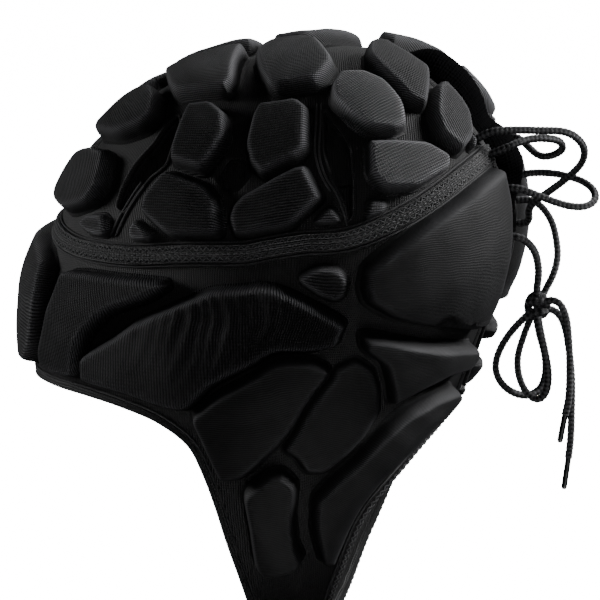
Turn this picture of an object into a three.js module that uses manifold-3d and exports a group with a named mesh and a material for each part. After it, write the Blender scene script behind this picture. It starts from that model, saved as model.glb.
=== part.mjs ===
// A rugby scrum cap: a knitted web with moulded foam pads, a laced opening at the back and a chin strap.
// Units are millimetres. The face looks along -Y, the wearer's left is +X and +Z is up.
// The origin is the highest point of the hollow, where the crown of a head carries the cap.
import * as THREE from 'three';
import { mergeVertices } from 'three/addons/utils/BufferGeometryUtils.js';
import Module from 'manifold-3d';

const wasm = await Module();
wasm.setup();

// Driving dimensions
const HALF_LENGTH = 105;        // middle of the head to the brow, over the web
const CROWN_HEIGHT = 105;       // temple level up to the top of the web
const CHIN_DROP = 155;          // temple level down to the strap under the chin
const HALF_WIDTH = 79;          // half the width over the web
const SQUARE = 2.25;            // 2 is an oval section, more is boxier
const WEB = 3;                  // foam-backed knit of crown, side panels and strap
const CROWN_PAD = 8;            // height of the crown pads over the web
const SIDE_PAD = 8;             // height of the side pads over the web
const EAR_PAD = 4;              // height of the low pad over the ear
const BUMP = 4.5;               // height of the small moulded bumps
const TAPE_WIDTH = 8;           // seam tape
const TAPE_THICK = 1.2;
const BINDING_WIDTH = 4;        // edge binding, seen from outside
const BINDING_PROUD = 1;        // binding past each face of the web
const TONGUE = 4;               // thickness of the tongue under the flaps
const TONGUE_BULGE = 9;         // how far the tongue stands out of the opening
const TONGUE_FLANGE = 9;        // how far the tongue runs under each flap
const LACE = 3.4;               // diameter of the lace
const AGLET = 2.6;              // diameter of the hard lace tips
const GAP = 0.3;                // clearance between pieces that touch
const PAD_FLARE = 0.45;         // degrees that the foot of a crown pad spreads past its outline

const DEG = Math.PI / 180;
const MIDLINE = 90;             // side map: distance from the temple to the middle plane
const CENTRE_Z = WEB - CROWN_HEIGHT;    // temple level, below the origin
const TAPE_SEAT = GAP + TAPE_WIDTH ** 2 / (8 * HALF_WIDTH);  // a flat strip on a round web
const OUT_OF_REACH = 25;        // past anything that a cutter has to cut
const SAME_POINT = 1e-5;        // corners closer than this are one corner

// Side profile of the web. angle runs from the front over the top to the back, in degrees.
// reach is a share of the half axes, full widens the side there by a share of the half width.
const PROFILE = [
  { angle: -90, reach: 1.0, full: 0 },
  { angle: -60, reach: 1.02, full: -0.02 },
  { angle: -35, reach: 1.06, full: -0.05 },
  { angle: -12, reach: 1.075, full: -0.05 },
  { angle: 0, reach: 1.045, full: -0.04 },
  { angle: 12, reach: 1.0, full: -0.03 },
  { angle: 25, reach: 0.98, full: -0.03 },
  { angle: 45, reach: 0.985, full: -0.02 },
  { angle: 68, reach: 0.985, full: 0 },
  { angle: 90, reach: 1.0, full: 0 },
  { angle: 106, reach: 1.065, full: 0.02 },
  { angle: 122, reach: 1.125, full: 0.04 },
  { angle: 134, reach: 1.12, full: 0.05 },
  { angle: 146, reach: 1.085, full: 0.05 },
  { angle: 160, reach: 1.015, full: 0.04 },
  { angle: 172, reach: 0.94, full: 0.02 },
  { angle: 182, reach: 0.87, full: 0 },
  { angle: 192, reach: 0.82, full: -0.02 },
  { angle: 205, reach: 0.8, full: -0.03 },
  { angle: 225, reach: 0.85, full: -0.03 },
  { angle: 245, reach: 0.94, full: -0.02 },
];

// The side map lays the left side flat: [back, up] in degrees from the temple, with the middle plane
// 90 degrees away. Every line and outline below is a list of such points.

// Middle line of the seam tape, from the brow to the rear opening
const TAPE_LINE = [
  [-86.3, 25.5], [-78, 23.4], [-70, 20.8], [-60, 18], [-50, 16], [-40, 15.2], [-30, 15.2], [-15, 16.5],
  [0, 17.3], [10, 17.6], [20, 18.8], [30, 23], [40, 29], [50, 36.3], [60, 43.5], [64, 46.3],
];

// The slot under the tape runs on into the rear opening
const TAPE_SLOT_END = [69, 49.8];

// Where the side panels end and the chin strap begins
const STRAP_TOP = [[-7.5, -46.5], [8, -47], [26.5, -47.5]];

// Middle line of the face binding, from the brow down the cheek to the strap under the chin
const FACE_LINE = [
  [-87.8, -18.8], [-75, -16.8], [-60, -14.4], [-50, -13.4], [-40, -12.9], [-30, -13.4], [-20.5, -15.3],
  [-14, -19], [-10.8, -24], [-8.3, -30], [-6.3, -37], [-4.3, -45], [-3.2, -53], [-3.3, -62], [-4.2, -75],
  [-5.3, -89.8],
];

// Middle line of the neck binding, from the rear opening to the strap under the chin
const NECK_LINE = [
  [75.5, -29.3], [70, -29.3], [62, -29.8], [54, -31.2], [45, -33.8], [36.5, -36.5], [28.7, -40],
  [24.5, -44.5], [21.3, -50], [18.8, -56], [17.6, -63], [17.2, -75], [18, -88.2],
];

// Edge of the rear opening: angle as in the profile, side is the distance from the temple
const OPENING = [
  { angle: 115, side: 88 },
  { angle: 118, side: 83.5 },
  { angle: 124, side: 80 },
  { angle: 130, side: 78.5 },
  { angle: 136, side: 77.5 },
  { angle: 142, side: 78.5 },
  { angle: 148, side: 80.5 },
  { angle: 156, side: 80.5 },
  { angle: 170, side: 80.5 },
  { angle: 185, side: 80 },
  { angle: 206, side: 80 },
];

// Tongue in the opening: bulge is a share of its full bulge
const TONGUE_ROWS = [
  { angle: 114, bulge: 0 },
  { angle: 118, bulge: 0.6 },
  { angle: 123, bulge: 1 },
  { angle: 129, bulge: 0.95 },
  { angle: 134, bulge: 0.75 },
  { angle: 138, bulge: 0.5 },
  { angle: 143, bulge: 0.85 },
  { angle: 148, bulge: 0.95 },
  { angle: 153, bulge: 0.7 },
  { angle: 158, bulge: 0.35 },
  { angle: 166, bulge: 0.25 },
  { angle: 176, bulge: 0.2 },
  { angle: 186, bulge: 0.2 },
  { angle: 196, bulge: 0.1 },
];

// Vent slits and the vent hole, cut through the crown on both sides
const VENTS = [
  [[-24.5, 53.5], [-27, 50], [-28.5, 44.5], [-33, 38.5], [-35.5, 32], [-36.5, 27], [-33.5, 25.5],
    [-30, 31], [-27, 35], [-23.3, 38], [-22.8, 44], [-22.6, 51]],
  [[15.2, 51], [15.3, 44], [15.5, 37], [17, 31.5], [19.5, 26], [20.3, 22.5], [21, 24], [20.8, 30],
    [20.5, 38], [19, 42.5], [16.5, 47]],
  [[-6.5, 39.5], [-3, 39.5], [0, 35.5], [-3, 31.5], [-5.5, 31], [-9, 34.5]],
];

// Small bumps moulded into the crown and into the side panels
const CROWN_BUMPS = [
  [[-49.5, 21.5], [-46, 25], [-38.5, 25], [-37, 19], [-43, 18.8]],
  [[-31, 21], [-29, 24.5], [-23.5, 20.5], [-24.5, 18.5], [-29.5, 18.5]],
  [[16.5, 26], [19.7, 21.8], [12, 21]],
  [[24, 27.5], [29.5, 27], [27, 23.3], [24, 22.2]],
  [[52.5, 49.5], [55.5, 46.5], [54.5, 43.8], [52.3, 43]],
];
const SIDE_BUMPS = [
  [[10, 11], [14, 13.4], [19.5, 13.6], [22, 11], [22, 8], [20, 6.5], [15.5, 7.5], [11, 9.5]],
];

// Pads of one side. centre is the crest, outline the corners, soft the share of each side that is rounded.
const CROWN_PADS = [
  { name: 'front_upper', centre: [-45, 56], soft: 0.45,
    outline: [[-32, 60.5], [-28.8, 52], [-31.3, 47.8], [-41, 45.4], [-57, 50], [-62, 55], [-57, 61],
      [-46, 67.5], [-38.5, 66.5]] },
  { name: 'front_lower', centre: [-56, 34], soft: 0.45,
    outline: [[-41, 41], [-40, 32], [-44, 26.5], [-55, 24.5], [-66, 27.5], [-74, 32], [-72, 39], [-62, 45.5],
      [-50, 44.5]] },
  { name: 'top_front', centre: [-22, 69], soft: 0.4,
    outline: [[-28.5, 60.5], [-25, 58], [-9.5, 57.5], [-8, 62], [-10.5, 75], [-12, 85.5], [-18.5, 85], [-37.5, 78.3],
      [-40.5, 74], [-34, 67]] },
  { name: 'top_middle', centre: [6, 70], soft: 0.4,
    outline: [[2, 57], [13.5, 56.5], [16, 59], [18.5, 65], [14, 81], [8, 87], [-4, 87], [-7, 77], [-3, 66]] },
  { name: 'top_rear', centre: [35, 65], soft: 0.4,
    outline: [[30, 79.5], [27, 76], [26, 67], [28.5, 60], [34, 51], [38.5, 50], [41, 58], [42.5, 64], [40, 73],
      [36, 78]] },
  { name: 'upper_front', centre: [-14.5, 45.5], soft: 0.35,
    outline: [[-20, 54.5], [-13, 55], [-8, 51], [-6.5, 44.5], [-8.5, 40], [-11.5, 35.2], [-20.8, 37.6],
      [-21.3, 42]] },
  { name: 'upper_rear', centre: [5.5, 44], soft: 0.35,
    outline: [[0, 53.5], [9.5, 53.2], [12.5, 49.5], [12.5, 38.5], [10, 36], [2.8, 33.4], [-0.5, 37], [-2.3, 42],
      [-1.5, 50]] },
  { name: 'lower_front', centre: [-16, 27], soft: 0.35,
    outline: [[-21.5, 36.2], [-10.8, 32.7], [-7.2, 29], [-5.8, 20.6], [-18.5, 19.6], [-27, 25.5], [-26, 30]] },
  { name: 'lower_rear', centre: [5, 27], soft: 0.35,
    outline: [[-1.5, 30.5], [9.5, 35], [12, 35], [15.3, 27], [13.5, 25], [9, 20.8], [-3.3, 20.6], [-4.8, 25],
      [-4, 28]] },
  { name: 'rear_upper', centre: [25, 51], soft: 0.45,
    outline: [[19, 60.5], [25, 60.5], [29.5, 57], [32.8, 50], [33, 44], [30, 42], [24.5, 41.8], [21, 45],
      [17.2, 51], [17, 56]] },
  { name: 'rear_edge', centre: [46, 50], soft: 0.4,
    outline: [[44.5, 61], [48.5, 60], [52, 52], [51.5, 45], [47, 40.3], [41, 43.5], [39.8, 49], [41.8, 57]] },
  { name: 'rear_lower', centre: [33.5, 35], soft: 0.35,
    outline: [[24, 39.5], [30, 40.2], [37.5, 41], [43.5, 39], [43.5, 36], [34.5, 30], [27, 29], [24, 32]] },
];
const SIDE_PADS = [
  { name: 'temple', centre: [-43, 0.5], height: SIDE_PAD, soft: 0.35,
    outline: [[-49, 10], [-19.5, 10.3], [-18.5, 8.5], [-24, 4.6], [-31, 1.5], [-38, -3.5], [-40.5, -10.5],
      [-53.5, -11.3], [-54.7, -8], [-51, 2]] },
  { name: 'wing', centre: [-5, 0], height: SIDE_PAD, soft: 0.4,
    outline: [[-39.3, -6.5], [-31, -3], [-24, 0.8], [-16, 5.5], [-8, 9.3], [2, 10], [9, 8], [20, 4.3], [24.5, 2],
      [24, -2.8], [18, -4], [9, -4.2], [0, -6.2], [-8, -9], [-13.5, -13], [-19, -12.5], [-28, -11],
      [-39, -10.6]] },
  { name: 'cheek', centre: [3, -13.5], height: SIDE_PAD, soft: 0.4,
    outline: [[-12.8, -13.8], [-6.5, -10.4], [0, -7.9], [5, -6.4], [11, -5.6], [18, -5.8], [23, -7.5],
      [21.5, -9.6], [18, -12], [10.5, -17.2], [5, -20.2], [-1.5, -23.8], [-6.5, -24.6], [-9, -20.5]] },
  { name: 'rear', centre: [50, 14], height: SIDE_PAD, soft: 0.35,
    outline: [[25.3, 13], [32, 17.3], [40, 22.8], [50, 30.5], [58.5, 37.3], [64, 38], [68, 33], [70, 25],
      [71.5, 15], [72, 5], [72.5, -3], [66, -3.2], [58, -1.5], [47, 0.5], [36, 3], [27.3, 6.8], [25, 10]] },
  { name: 'nape_upper', centre: [50, -8.5], height: SIDE_PAD, soft: 0.4,
    outline: [[28.5, -0.2], [36, -1.2], [46, -3.2], [58, -5.2], [71, -7.5], [73, -11], [69, -14], [58, -13],
      [50, -14.2], [43, -16], [40.3, -17], [39, -12], [36.5, -7], [30.5, -3.8]] },
  { name: 'nape_lower', centre: [34, -28.5], height: SIDE_PAD, soft: 0.4,
    outline: [[39.5, -21.3], [46, -19], [54, -17.4], [64, -17.6], [67.5, -20.5], [63.5, -26.2], [54, -27.8],
      [44, -30.3], [35, -33], [27.5, -36.6], [22.6, -41.5], [20, -46], [16.5, -44], [14.7, -36], [15.2, -30],
      [20, -28.4], [27, -26.7], [33, -24.2]] },
  { name: 'ear', centre: [25, -16], height: EAR_PAD, soft: 0.4,
    outline: [[24.7, -7.5], [29.5, -5.9], [34.5, -8.5], [37, -13], [37.2, -18], [32, -22.4], [26, -25],
      [19, -26.6], [13.7, -25.3], [11.5, -22.3], [8, -20.4], [13, -17.3], [19.2, -13], [23.5, -10]] },
  { name: 'jaw', centre: [4.5, -33], height: SIDE_PAD, soft: 0.4,
    outline: [[-2, -26.6], [4, -23.4], [8, -23.6], [11.5, -26.6], [10.2, -33], [10.5, -38], [12, -41.5],
      [9.5, -43.5], [1.5, -43.8], [-0.5, -41], [-1, -33]] },
];

const FOREHEAD = { centre: [-90, 2], soft: 0.3 };
// Forehead pad: the left half of its outline, from the top of the brow to its lower edge
const FOREHEAD_HALF = [
  [-87.6, 20.5], [-76, 18.6], [-64, 14.5], [-57.5, 10], [-56.5, 0], [-58.5, -8.5], [-63, -12.3], [-75, -14.6],
  [-88.4, -16.4],
];

// Lace. Every piece runs through its points; x is to the left, y to the back, z up from the temple level.
// from and to name the eyelet that an end leaves or enters; the other ends go into the knot.
const EYELETS = {
  top: [58.5, 49],
  upper: [63, 45.3],
  middle: [69.5, 36.5],
  between: [73, 30],
  lower: [75.3, 23.5],
};
const KNOT = { x: 0, y: 111.8, z: -2.5, halfWidth: 4.8, halfDepth: 5, halfHeight: 6.4 };
const LACE_RUNS = [
  { name: 'lace_loop_1', from: ['upper', 1], to: ['upper', -1],
    points: [[12, 108.4, 72.5], [8, 116.4, 72.4], [3, 120.8, 70.5], [-1, 121.8, 67], [-5, 118, 63.5],
      [-9, 111, 61.6]] },
  { name: 'lace_loop_2', from: ['top', 1], to: ['lower', -1],
    points: [[16, 113, 77], [12, 124.7, 76], [8, 129.7, 72], [4, 131.6, 67.1], [0, 130, 61],
      [-3, 125.4, 55.5], [-7, 118.5, 49.3], [-10.5, 111.5, 43.6], [-13.5, 105.5, 37.6]] },
  { name: 'lace_loop_3', from: ['middle', 1], to: ['middle', -1],
    points: [[15, 115.4, 47.9], [12, 124.7, 44.4], [9, 132.1, 43.4], [4, 136.2, 45.1], [-1, 135.7, 48.3],
      [-6, 131, 51.3], [-10, 123.1, 53.1], [-13, 114.7, 53.8]] },
  { name: 'lace_strand_1', from: ['between', -1], to: null,
    points: [[-16.5, 109.5, 39.5], [-12, 115.7, 33.2], [-9, 118.5, 24.9], [-6, 119.5, 18.4], [-3, 118.3, 11.5],
      [-2, 115, 4.6]] },
  { name: 'lace_strand_2', from: ['lower', 1], to: null,
    points: [[14.5, 107.2, 29.5], [11, 110.8, 25], [7, 112.3, 18.8], [4.4, 112.6, 12], [3, 111.6, 5]] },
  { name: 'bow_loop_1', from: null, to: null,
    points: [[4.5, 107.6, -6.1], [5, 101.3, -13], [5, 96, -21.9], [5, 94.2, -30], [3, 97, -37.4], [0, 102.1, -42],
      [-3, 107.7, -43.5], [-6, 112.5, -41.5], [-7, 114.9, -35.1], [-6, 114.7, -25.6], [-4.8, 112.4, -16.6],
      [-4, 111, -9]] },
  { name: 'bow_loop_2', from: null, to: null,
    points: [[-0.6, 108.4, -9], [1, 105.6, -17.2], [2, 103.6, -25.2], [1.5, 104.1, -33.4], [3, 107.5, -40.4],
      [5, 112.8, -43.7], [6, 116.5, -40.3], [5.5, 117.6, -31.7], [5, 115.9, -22.1], [4.6, 113.8, -13.4],
      [3.6, 112.6, -8]] },
  { name: 'lace_end_1', from: null, to: null, tip: [4, 122.8, -62.1],
    points: [[3, 117, 1], [4, 121.4, 0.6], [4, 124.5, -5.2], [4, 125.9, -14.6], [4, 126.7, -30.1],
      [4, 126.3, -43.4], [4, 125, -49.6]] },
  { name: 'lace_end_2', from: null, to: null, tip: [-1, 124.4, -84.4],
    points: [[-2, 116.5, -4], [-1.3, 120.2, -5], [-1, 123.4, -10.5], [-1, 125.4, -20], [-1, 127, -33.3],
      [-1, 127.2, -48.9], [-1, 127, -62.2], [-1, 126.2, -70.2]] },
];

// How finely the solids are cut
const CORE_DETAIL = 5;
const LINE_STEPS = 22;
const LACE_STEP = 3 * LACE;
const LACE_SIDES = 6;
const KNOT_SIDES = 10;

// Materials
const COLOURS = { pad: 0x1c1c1d, web: 0x161617, tape: 0x202021, binding: 0x121213, tongue: 0x0c0c0d,
  lace: 0x232324, aglet: 0x0f0f10 };
const ROUGHNESS = { pad: 0.85, web: 0.9, tape: 0.8, binding: 0.8, tongue: 0.95, lace: 0.75, aglet: 0.35 };

const group = new THREE.Group();

function cloth(kind) {
  return new THREE.MeshStandardMaterial({ color: COLOURS[kind], roughness: ROUGHNESS[kind], metalness: 0 });
}

// The web surface

function profileAt(angle) {
  const last = PROFILE.length - 1;
  const turned = ((angle + 90) % 360 + 360) % 360 - 90;
  let i = 0;
  while (i < last && PROFILE[i + 1].angle <= turned) i += 1;
  const row = (k) => {
    const wrapped = (k + PROFILE.length) % PROFILE.length;
    const turns = Math.floor(k / PROFILE.length);
    return { ...PROFILE[wrapped], angle: PROFILE[wrapped].angle + 360 * turns };
  };
  const [p0, p1, p2, p3] = [row(i - 1), row(i), row(i + 1), row(i + 2)];
  const span = p2.angle - p1.angle;
  const t = (turned - p1.angle) / span;
  const blend = (key) => {
    const m1 = (p2[key] - p0[key]) / (p2.angle - p0.angle);
    const m2 = (p3[key] - p1[key]) / (p3.angle - p1.angle);
    return (2 * t ** 3 - 3 * t ** 2 + 1) * p1[key] + (t ** 3 - 2 * t ** 2 + t) * span * m1
      + (3 * t ** 2 - 2 * t ** 3) * p2[key] + (t ** 3 - t ** 2) * span * m2;
  };
  return { reach: blend('reach'), full: blend('full') };
}

function webPoint(back, up) {
  const side = Math.hypot(back, up) * DEG;
  const around = Math.atan2(up, -back);
  const { reach, full } = profileAt(around / DEG);
  const size = (Math.abs(Math.cos(side)) ** SQUARE + Math.abs(Math.sin(side)) ** SQUARE) ** (1 / SQUARE);
  const out = Math.cos(side) / size;
  const across = Math.sin(side) / size;
  const height = Math.sin(around) >= 0 ? CROWN_HEIGHT : CHIN_DROP;
  return new THREE.Vector3(
    HALF_WIDTH * out * (1 + full * Math.sin(side) ** 2),
    -HALF_LENGTH * reach * Math.cos(around) * across,
    CENTRE_Z + height * reach * Math.sin(around) * across,
  );
}

function webNormal(back, up) {
  const step = 0.05;
  const along = webPoint(back + step, up).sub(webPoint(back - step, up));
  const rise = webPoint(back, up + step).sub(webPoint(back, up - step));
  return along.cross(rise).normalize();
}

// Point at a height over the web
function onWeb([back, up], lift) {
  return webPoint(back, up).addScaledVector(webNormal(back, up), lift);
}

function polar(angle, side) {
  return [-side * Math.cos(angle * DEG), side * Math.sin(angle * DEG)];
}

// Solids

function toSolid(positions, triangles) {
  const geometry = new THREE.BufferGeometry();
  geometry.setAttribute('position', new THREE.Float32BufferAttribute(positions, 3));
  geometry.setIndex(triangles);
  return fromGeometry(geometry);
}

// Solid with its faces pointing out, whichever way round its triangles were listed
function fromGeometry(geometry) {
  geometry.deleteAttribute('normal');
  geometry.deleteAttribute('uv');
  const merged = mergeVertices(geometry, SAME_POINT);
  const place = new Float32Array(merged.attributes.position.array);
  const triangles = new Uint32Array(merged.index.array);
  const make = () => new wasm.Manifold(new wasm.Mesh({ numProp: 3, vertProperties: place, triVerts: triangles }));
  const solid = make();
  if (solid.volume() >= 0) return solid;
  triangles.reverse();
  return make();
}

function addNode(name, solid, kind) {
  const mesh = solid.getMesh();
  const geometry = new THREE.BufferGeometry();
  geometry.setAttribute('position', new THREE.BufferAttribute(mesh.vertProperties, 3));
  geometry.setIndex(new THREE.BufferAttribute(mesh.triVerts, 1));
  geometry.computeVertexNormals();
  const node = new THREE.Mesh(geometry, cloth(kind));
  node.name = name;
  group.add(node);
}

function mirrored(solid) {
  return solid.mirror([1, 0, 0]);
}

// Closed solid of rings: each ring is a list of points of one length, the ends close on a centre point.
function ringSolid(first, rings, last) {
  const count = rings[0].length;
  const positions = [first, ...rings.flat(), last].flatMap((p) => [p.x, p.y, p.z]);
  const at = (ring, i) => 1 + ring * count + (i + count) % count;
  const triangles = [];
  for (let i = 0; i < count; i += 1) {
    triangles.push(0, at(0, i), at(0, i + 1));
    for (let ring = 0; ring + 1 < rings.length; ring += 1) {
      triangles.push(at(ring, i), at(ring + 1, i), at(ring + 1, i + 1));
      triangles.push(at(ring, i), at(ring + 1, i + 1), at(ring, i + 1));
    }
    triangles.push(at(rings.length - 1, i + 1), at(rings.length - 1, i), 1 + rings.length * count);
  }
  return toSolid(positions, triangles);
}

// Outline with its corners rounded off by quadratic curves
function rounded(corners, soft, perCorner) {
  const points = [];
  corners.forEach((corner, i) => {
    const before = corners[(i + corners.length - 1) % corners.length];
    const after = corners[(i + 1) % corners.length];
    const start = corner.map((v, k) => v + (before[k] - v) * soft / 2);
    const end = corner.map((v, k) => v + (after[k] - v) * soft / 2);
    for (let s = 0; s < perCorner; s += 1) {
      const t = perCorner > 1 ? s / (perCorner - 1) : 0.5;
      points.push(corner.map((v, k) => (1 - t) ** 2 * start[k] + 2 * t * (1 - t) * v + t ** 2 * end[k]));
    }
  });
  return area(points) > 0 ? points : points.reverse();
}

function area(points) {
  return points.reduce((sum, [a, b], i) => {
    const [c, d] = points[(i + 1) % points.length];
    return sum + (a * d - b * c) / 2;
  }, 0);
}

// Outline drawn in by a distance in degrees
function drawnIn(points, distance) {
  return points.map(([a, b], i) => {
    const before = points[(i + points.length - 1) % points.length];
    const after = points[(i + 1) % points.length];
    const [da, db] = [after[0] - before[0], after[1] - before[1]];
    const length = Math.hypot(da, db) || 1;
    return [a - db / length * distance, b + da / length * distance];
  });
}

function towards(points, centre, share) {
  return points.map((p) => p.map((v, k) => centre[k] + (v - centre[k]) * share));
}

// Pad that stands on the web. Its root in the web is cut off later by the core.
const PAD_ROOT = 2;             // how far an uncut piece starts below the web
const WALL_SHARE = 0.45;        // height where the side of a pad starts to round over
const SHOULDER = { inset: 1.6, share: 0.92 };
const CREST = 0.5;              // ring on the top of a wide pad, as a share of its outline

function pad(outline, centre, height, wide, flare) {
  const ring = (points, lift) => points.map((p) => onWeb(p, lift));
  const shoulder = drawnIn(outline, SHOULDER.inset);
  const rings = [
    ring(drawnIn(outline, -flare), -PAD_ROOT),
    ring(outline, height * WALL_SHARE),
    ring(shoulder, height * SHOULDER.share),
  ];
  if (wide) rings.push(ring(towards(shoulder, centre, CREST), height));
  return ringSolid(onWeb(centre, -PAD_ROOT), rings, onWeb(centre, height));
}

// Whole closed surface at a height over the web, used to cut what sits on it
function core(lift) {
  const geometry = new THREE.IcosahedronGeometry(1, CORE_DETAIL);
  const place = geometry.attributes.position;
  for (let i = 0; i < place.count; i += 1) {
    const direction = new THREE.Vector3().fromBufferAttribute(place, i);
    const side = Math.acos(THREE.MathUtils.clamp(direction.x, -1, 1)) / DEG;
    const around = Math.atan2(direction.z, -direction.y) / DEG;
    const sign = side > MIDLINE ? -1 : 1;
    const near = sign > 0 ? side : 2 * MIDLINE - side;
    const point = onWeb(polar(around, near), lift);
    place.setXYZ(i, point.x * sign, point.y, point.z);
  }
  return fromGeometry(geometry);
}

// Lines of the map, and bars and slots along them

function mapCurve(line) {
  const points = line.map(([back, up]) => new THREE.Vector3(back, up, 0));
  const curve = new THREE.CatmullRomCurve3(points, false, 'centripetal');
  return curve.getSpacedPoints(LINE_STEPS).map((p) => [p.x, p.y]);
}

const NEAR_MIDDLE = 0.8;        // a line this many degrees from the middle plane ends on it

// Place, normal and sideways direction at each point of a line on the left side
function frames(line) {
  const points = mapCurve(line);
  const places = points.map((p) => onWeb(p, 0));
  return places.map((place, i) => {
    const before = places[Math.max(i - 1, 0)];
    const after = places[Math.min(i + 1, places.length - 1)];
    const normal = webNormal(...points[i]);
    const across = normal.clone().cross(after.clone().sub(before)).normalize();
    const frame = { place, normal, across };
    return Math.hypot(...points[i]) > MIDLINE - NEAR_MIDDLE ? squaredToMiddle(frame) : frame;
  });
}

// A line crosses the middle plane at a right angle
function squaredToMiddle({ place, normal, across }) {
  place.x = 0;
  normal.setX(0).normalize();
  const straight = new THREE.Vector3(1, 0, 0).cross(normal);
  if (straight.dot(across) < 0) straight.negate();
  return { place, normal, across: straight };
}

// Left frames that end at the middle plane, followed by their mirror images
function bothSides(left, closed) {
  const flip = (v) => new THREE.Vector3(-v.x, v.y, v.z);
  const right = left.slice(closed ? 1 : 0, -1).reverse();
  return [...left, ...right.map(({ place, normal, across }) => (
    { place: flip(place), normal: flip(normal), across: flip(across) }))];
}

// Solid through closed loops of points, one after another
function loft(rows, closed) {
  const count = rows[0].length;
  const total = rows.length;
  const at = (i, k) => (i % total) * count + (k + count) % count;
  const triangles = [];
  for (let i = 0; i < (closed ? total : total - 1); i += 1) {
    for (let k = 0; k < count; k += 1) {
      triangles.push(at(i, k), at(i, k + 1), at(i + 1, k + 1));
      triangles.push(at(i, k), at(i + 1, k + 1), at(i + 1, k));
    }
  }
  for (let k = 1; k + 1 < count && !closed; k += 1) {
    triangles.push(at(0, 0), at(0, k + 1), at(0, k));
    triangles.push(at(total - 1, 0), at(total - 1, k), at(total - 1, k + 1));
  }
  const positions = rows.flat().flatMap((p) => [p.x, p.y, p.z]);
  return toSolid(positions, triangles);
}

// Bar along frames: half its width, and its lower and upper face as heights over the web
function bar(stations, halfWidth, low, high, closed) {
  const corners = [[-halfWidth, low], [halfWidth, low], [halfWidth, high], [-halfWidth, high]];
  return loft(stations.map(({ place, normal, across }) => (
    corners.map(([w, h]) => place.clone().addScaledVector(across, w).addScaledVector(normal, h)))), closed);
}

function slot(stations, closed) {
  return bar(stations, GAP / 2, -WEB - PAD_ROOT, PAD_ROOT, closed);
}

// The lines of the cap
const tapeFrames = bothSides(frames(TAPE_LINE).reverse(), false);
const faceFrames = bothSides(frames(FACE_LINE), true);
const neckFrames = bothSides(frames(NECK_LINE), false);
const openingLine = [...OPENING].reverse().map(({ angle, side }) => polar(angle, side));
const openingFrames = bothSides(frames([...openingLine, polar(OPENING[0].angle - 1, MIDLINE)]), false);
const tapeSlotFrames = bothSides(frames([...TAPE_LINE, TAPE_SLOT_END]).reverse(), false);

const ROOM_ROOT = 1;            // how far the room of the tape reaches into the web
const coreGap = core(GAP);
const tapeHalf = TAPE_WIDTH / 2;
const bindingHalf = BINDING_WIDTH / 2;
const bindingLow = -WEB - BINDING_PROUD;
const tapeTop = TAPE_SEAT + TAPE_THICK;

const faceBinding = bar(faceFrames, bindingHalf, bindingLow, BINDING_PROUD, true);
const neckBinding = bar(neckFrames, bindingHalf, bindingLow, BINDING_PROUD, false);
const faceRoom = bar(faceFrames, bindingHalf + GAP, bindingLow - GAP, BINDING_PROUD + GAP, true);
const neckRoom = bar(neckFrames, bindingHalf + GAP, bindingLow - GAP, BINDING_PROUD + GAP, false);
const tape = bar(tapeFrames, tapeHalf, TAPE_SEAT, tapeTop, false);
const tapeRoom = bar(tapeFrames, tapeHalf + GAP, -ROOM_ROOT, tapeTop + GAP, false);

// Nothing that stands on the web reaches into these
const edgeRoom = [
  bar(faceFrames, bindingHalf + GAP, bindingLow, OUT_OF_REACH, true),
  bar(neckFrames, bindingHalf + GAP, bindingLow, OUT_OF_REACH, false),
  bar(tapeFrames, tapeHalf + GAP, -ROOM_ROOT, OUT_OF_REACH, false),
];

function keptClear(solid) {
  return edgeRoom.reduce((rest, room) => rest.subtract(room), solid);
}

// The web: one shell, cut apart along its lines

function middleOf(outline) {
  return outline.reduce(([a, b], p) => [a + p[0] / outline.length, b + p[1] / outline.length], [0, 0]);
}

function prism(outline, low, high) {
  const centre = middleOf(outline);
  const turned = area(outline) > 0 ? outline : [...outline].reverse();
  const ring = (lift) => turned.map((p) => onWeb(p, lift));
  return ringSolid(onWeb(centre, low), [ring(low), ring(high)], onWeb(centre, high));
}

const BUMP_SOFT = 0.5;          // share of each side of a bump that is rounded
const BUMP_TOP = 0.72;          // width of the top of a bump, as a share of its foot

function bump(corners) {
  const outline = rounded(corners, BUMP_SOFT, 2);
  const centre = middleOf(outline);
  const ring = (share, lift) => towards(outline, centre, share).map((p) => onWeb(p, lift));
  const solid = ringSolid(
    onWeb(centre, -WEB / 2),
    [ring(1, -WEB / 2), ring(1, BUMP / 2), ring(BUMP_TOP, BUMP)],
    onWeb(centre, BUMP),
  );
  return keptClear(solid);
}

function frontSlot() {
  const box = new THREE.BoxGeometry(GAP, HALF_LENGTH, CROWN_HEIGHT);
  box.translate(0, -HALF_LENGTH, CENTRE_Z);
  return fromGeometry(box);
}

function cutWeb() {
  const strapSlot = slot(frames(STRAP_TOP), false);
  const cuts = [
    faceRoom, neckRoom, slot(openingFrames, false), slot(tapeSlotFrames, false),
    strapSlot, mirrored(strapSlot),
  ];
  return cuts.reduce((rest, cut) => rest.subtract(cut), core(0).subtract(core(-WEB)));
}

// The piece of the web that holds a point of the map
function pieceAt(pieces, point) {
  const probe = new THREE.BoxGeometry(1, 1, 1);
  const place = onWeb(point, -WEB / 2);
  probe.translate(place.x, place.y, place.z);
  const solid = fromGeometry(probe);
  return pieces.find((piece) => piece.intersect(solid).volume() > 0);
}

// A point of the map inside each piece
const CROWN_POINT = [0, 88];
const SIDE_POINT = [30, 10];
const STRAP_POINT = [5, -75];

const shell = cutWeb();
const webPieces = shell.decompose();
let crown = pieceAt(webPieces, CROWN_POINT);
let side = pieceAt(shell.subtract(frontSlot()).decompose(), SIDE_POINT);
const strap = pieceAt(webPieces, STRAP_POINT);

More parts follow.
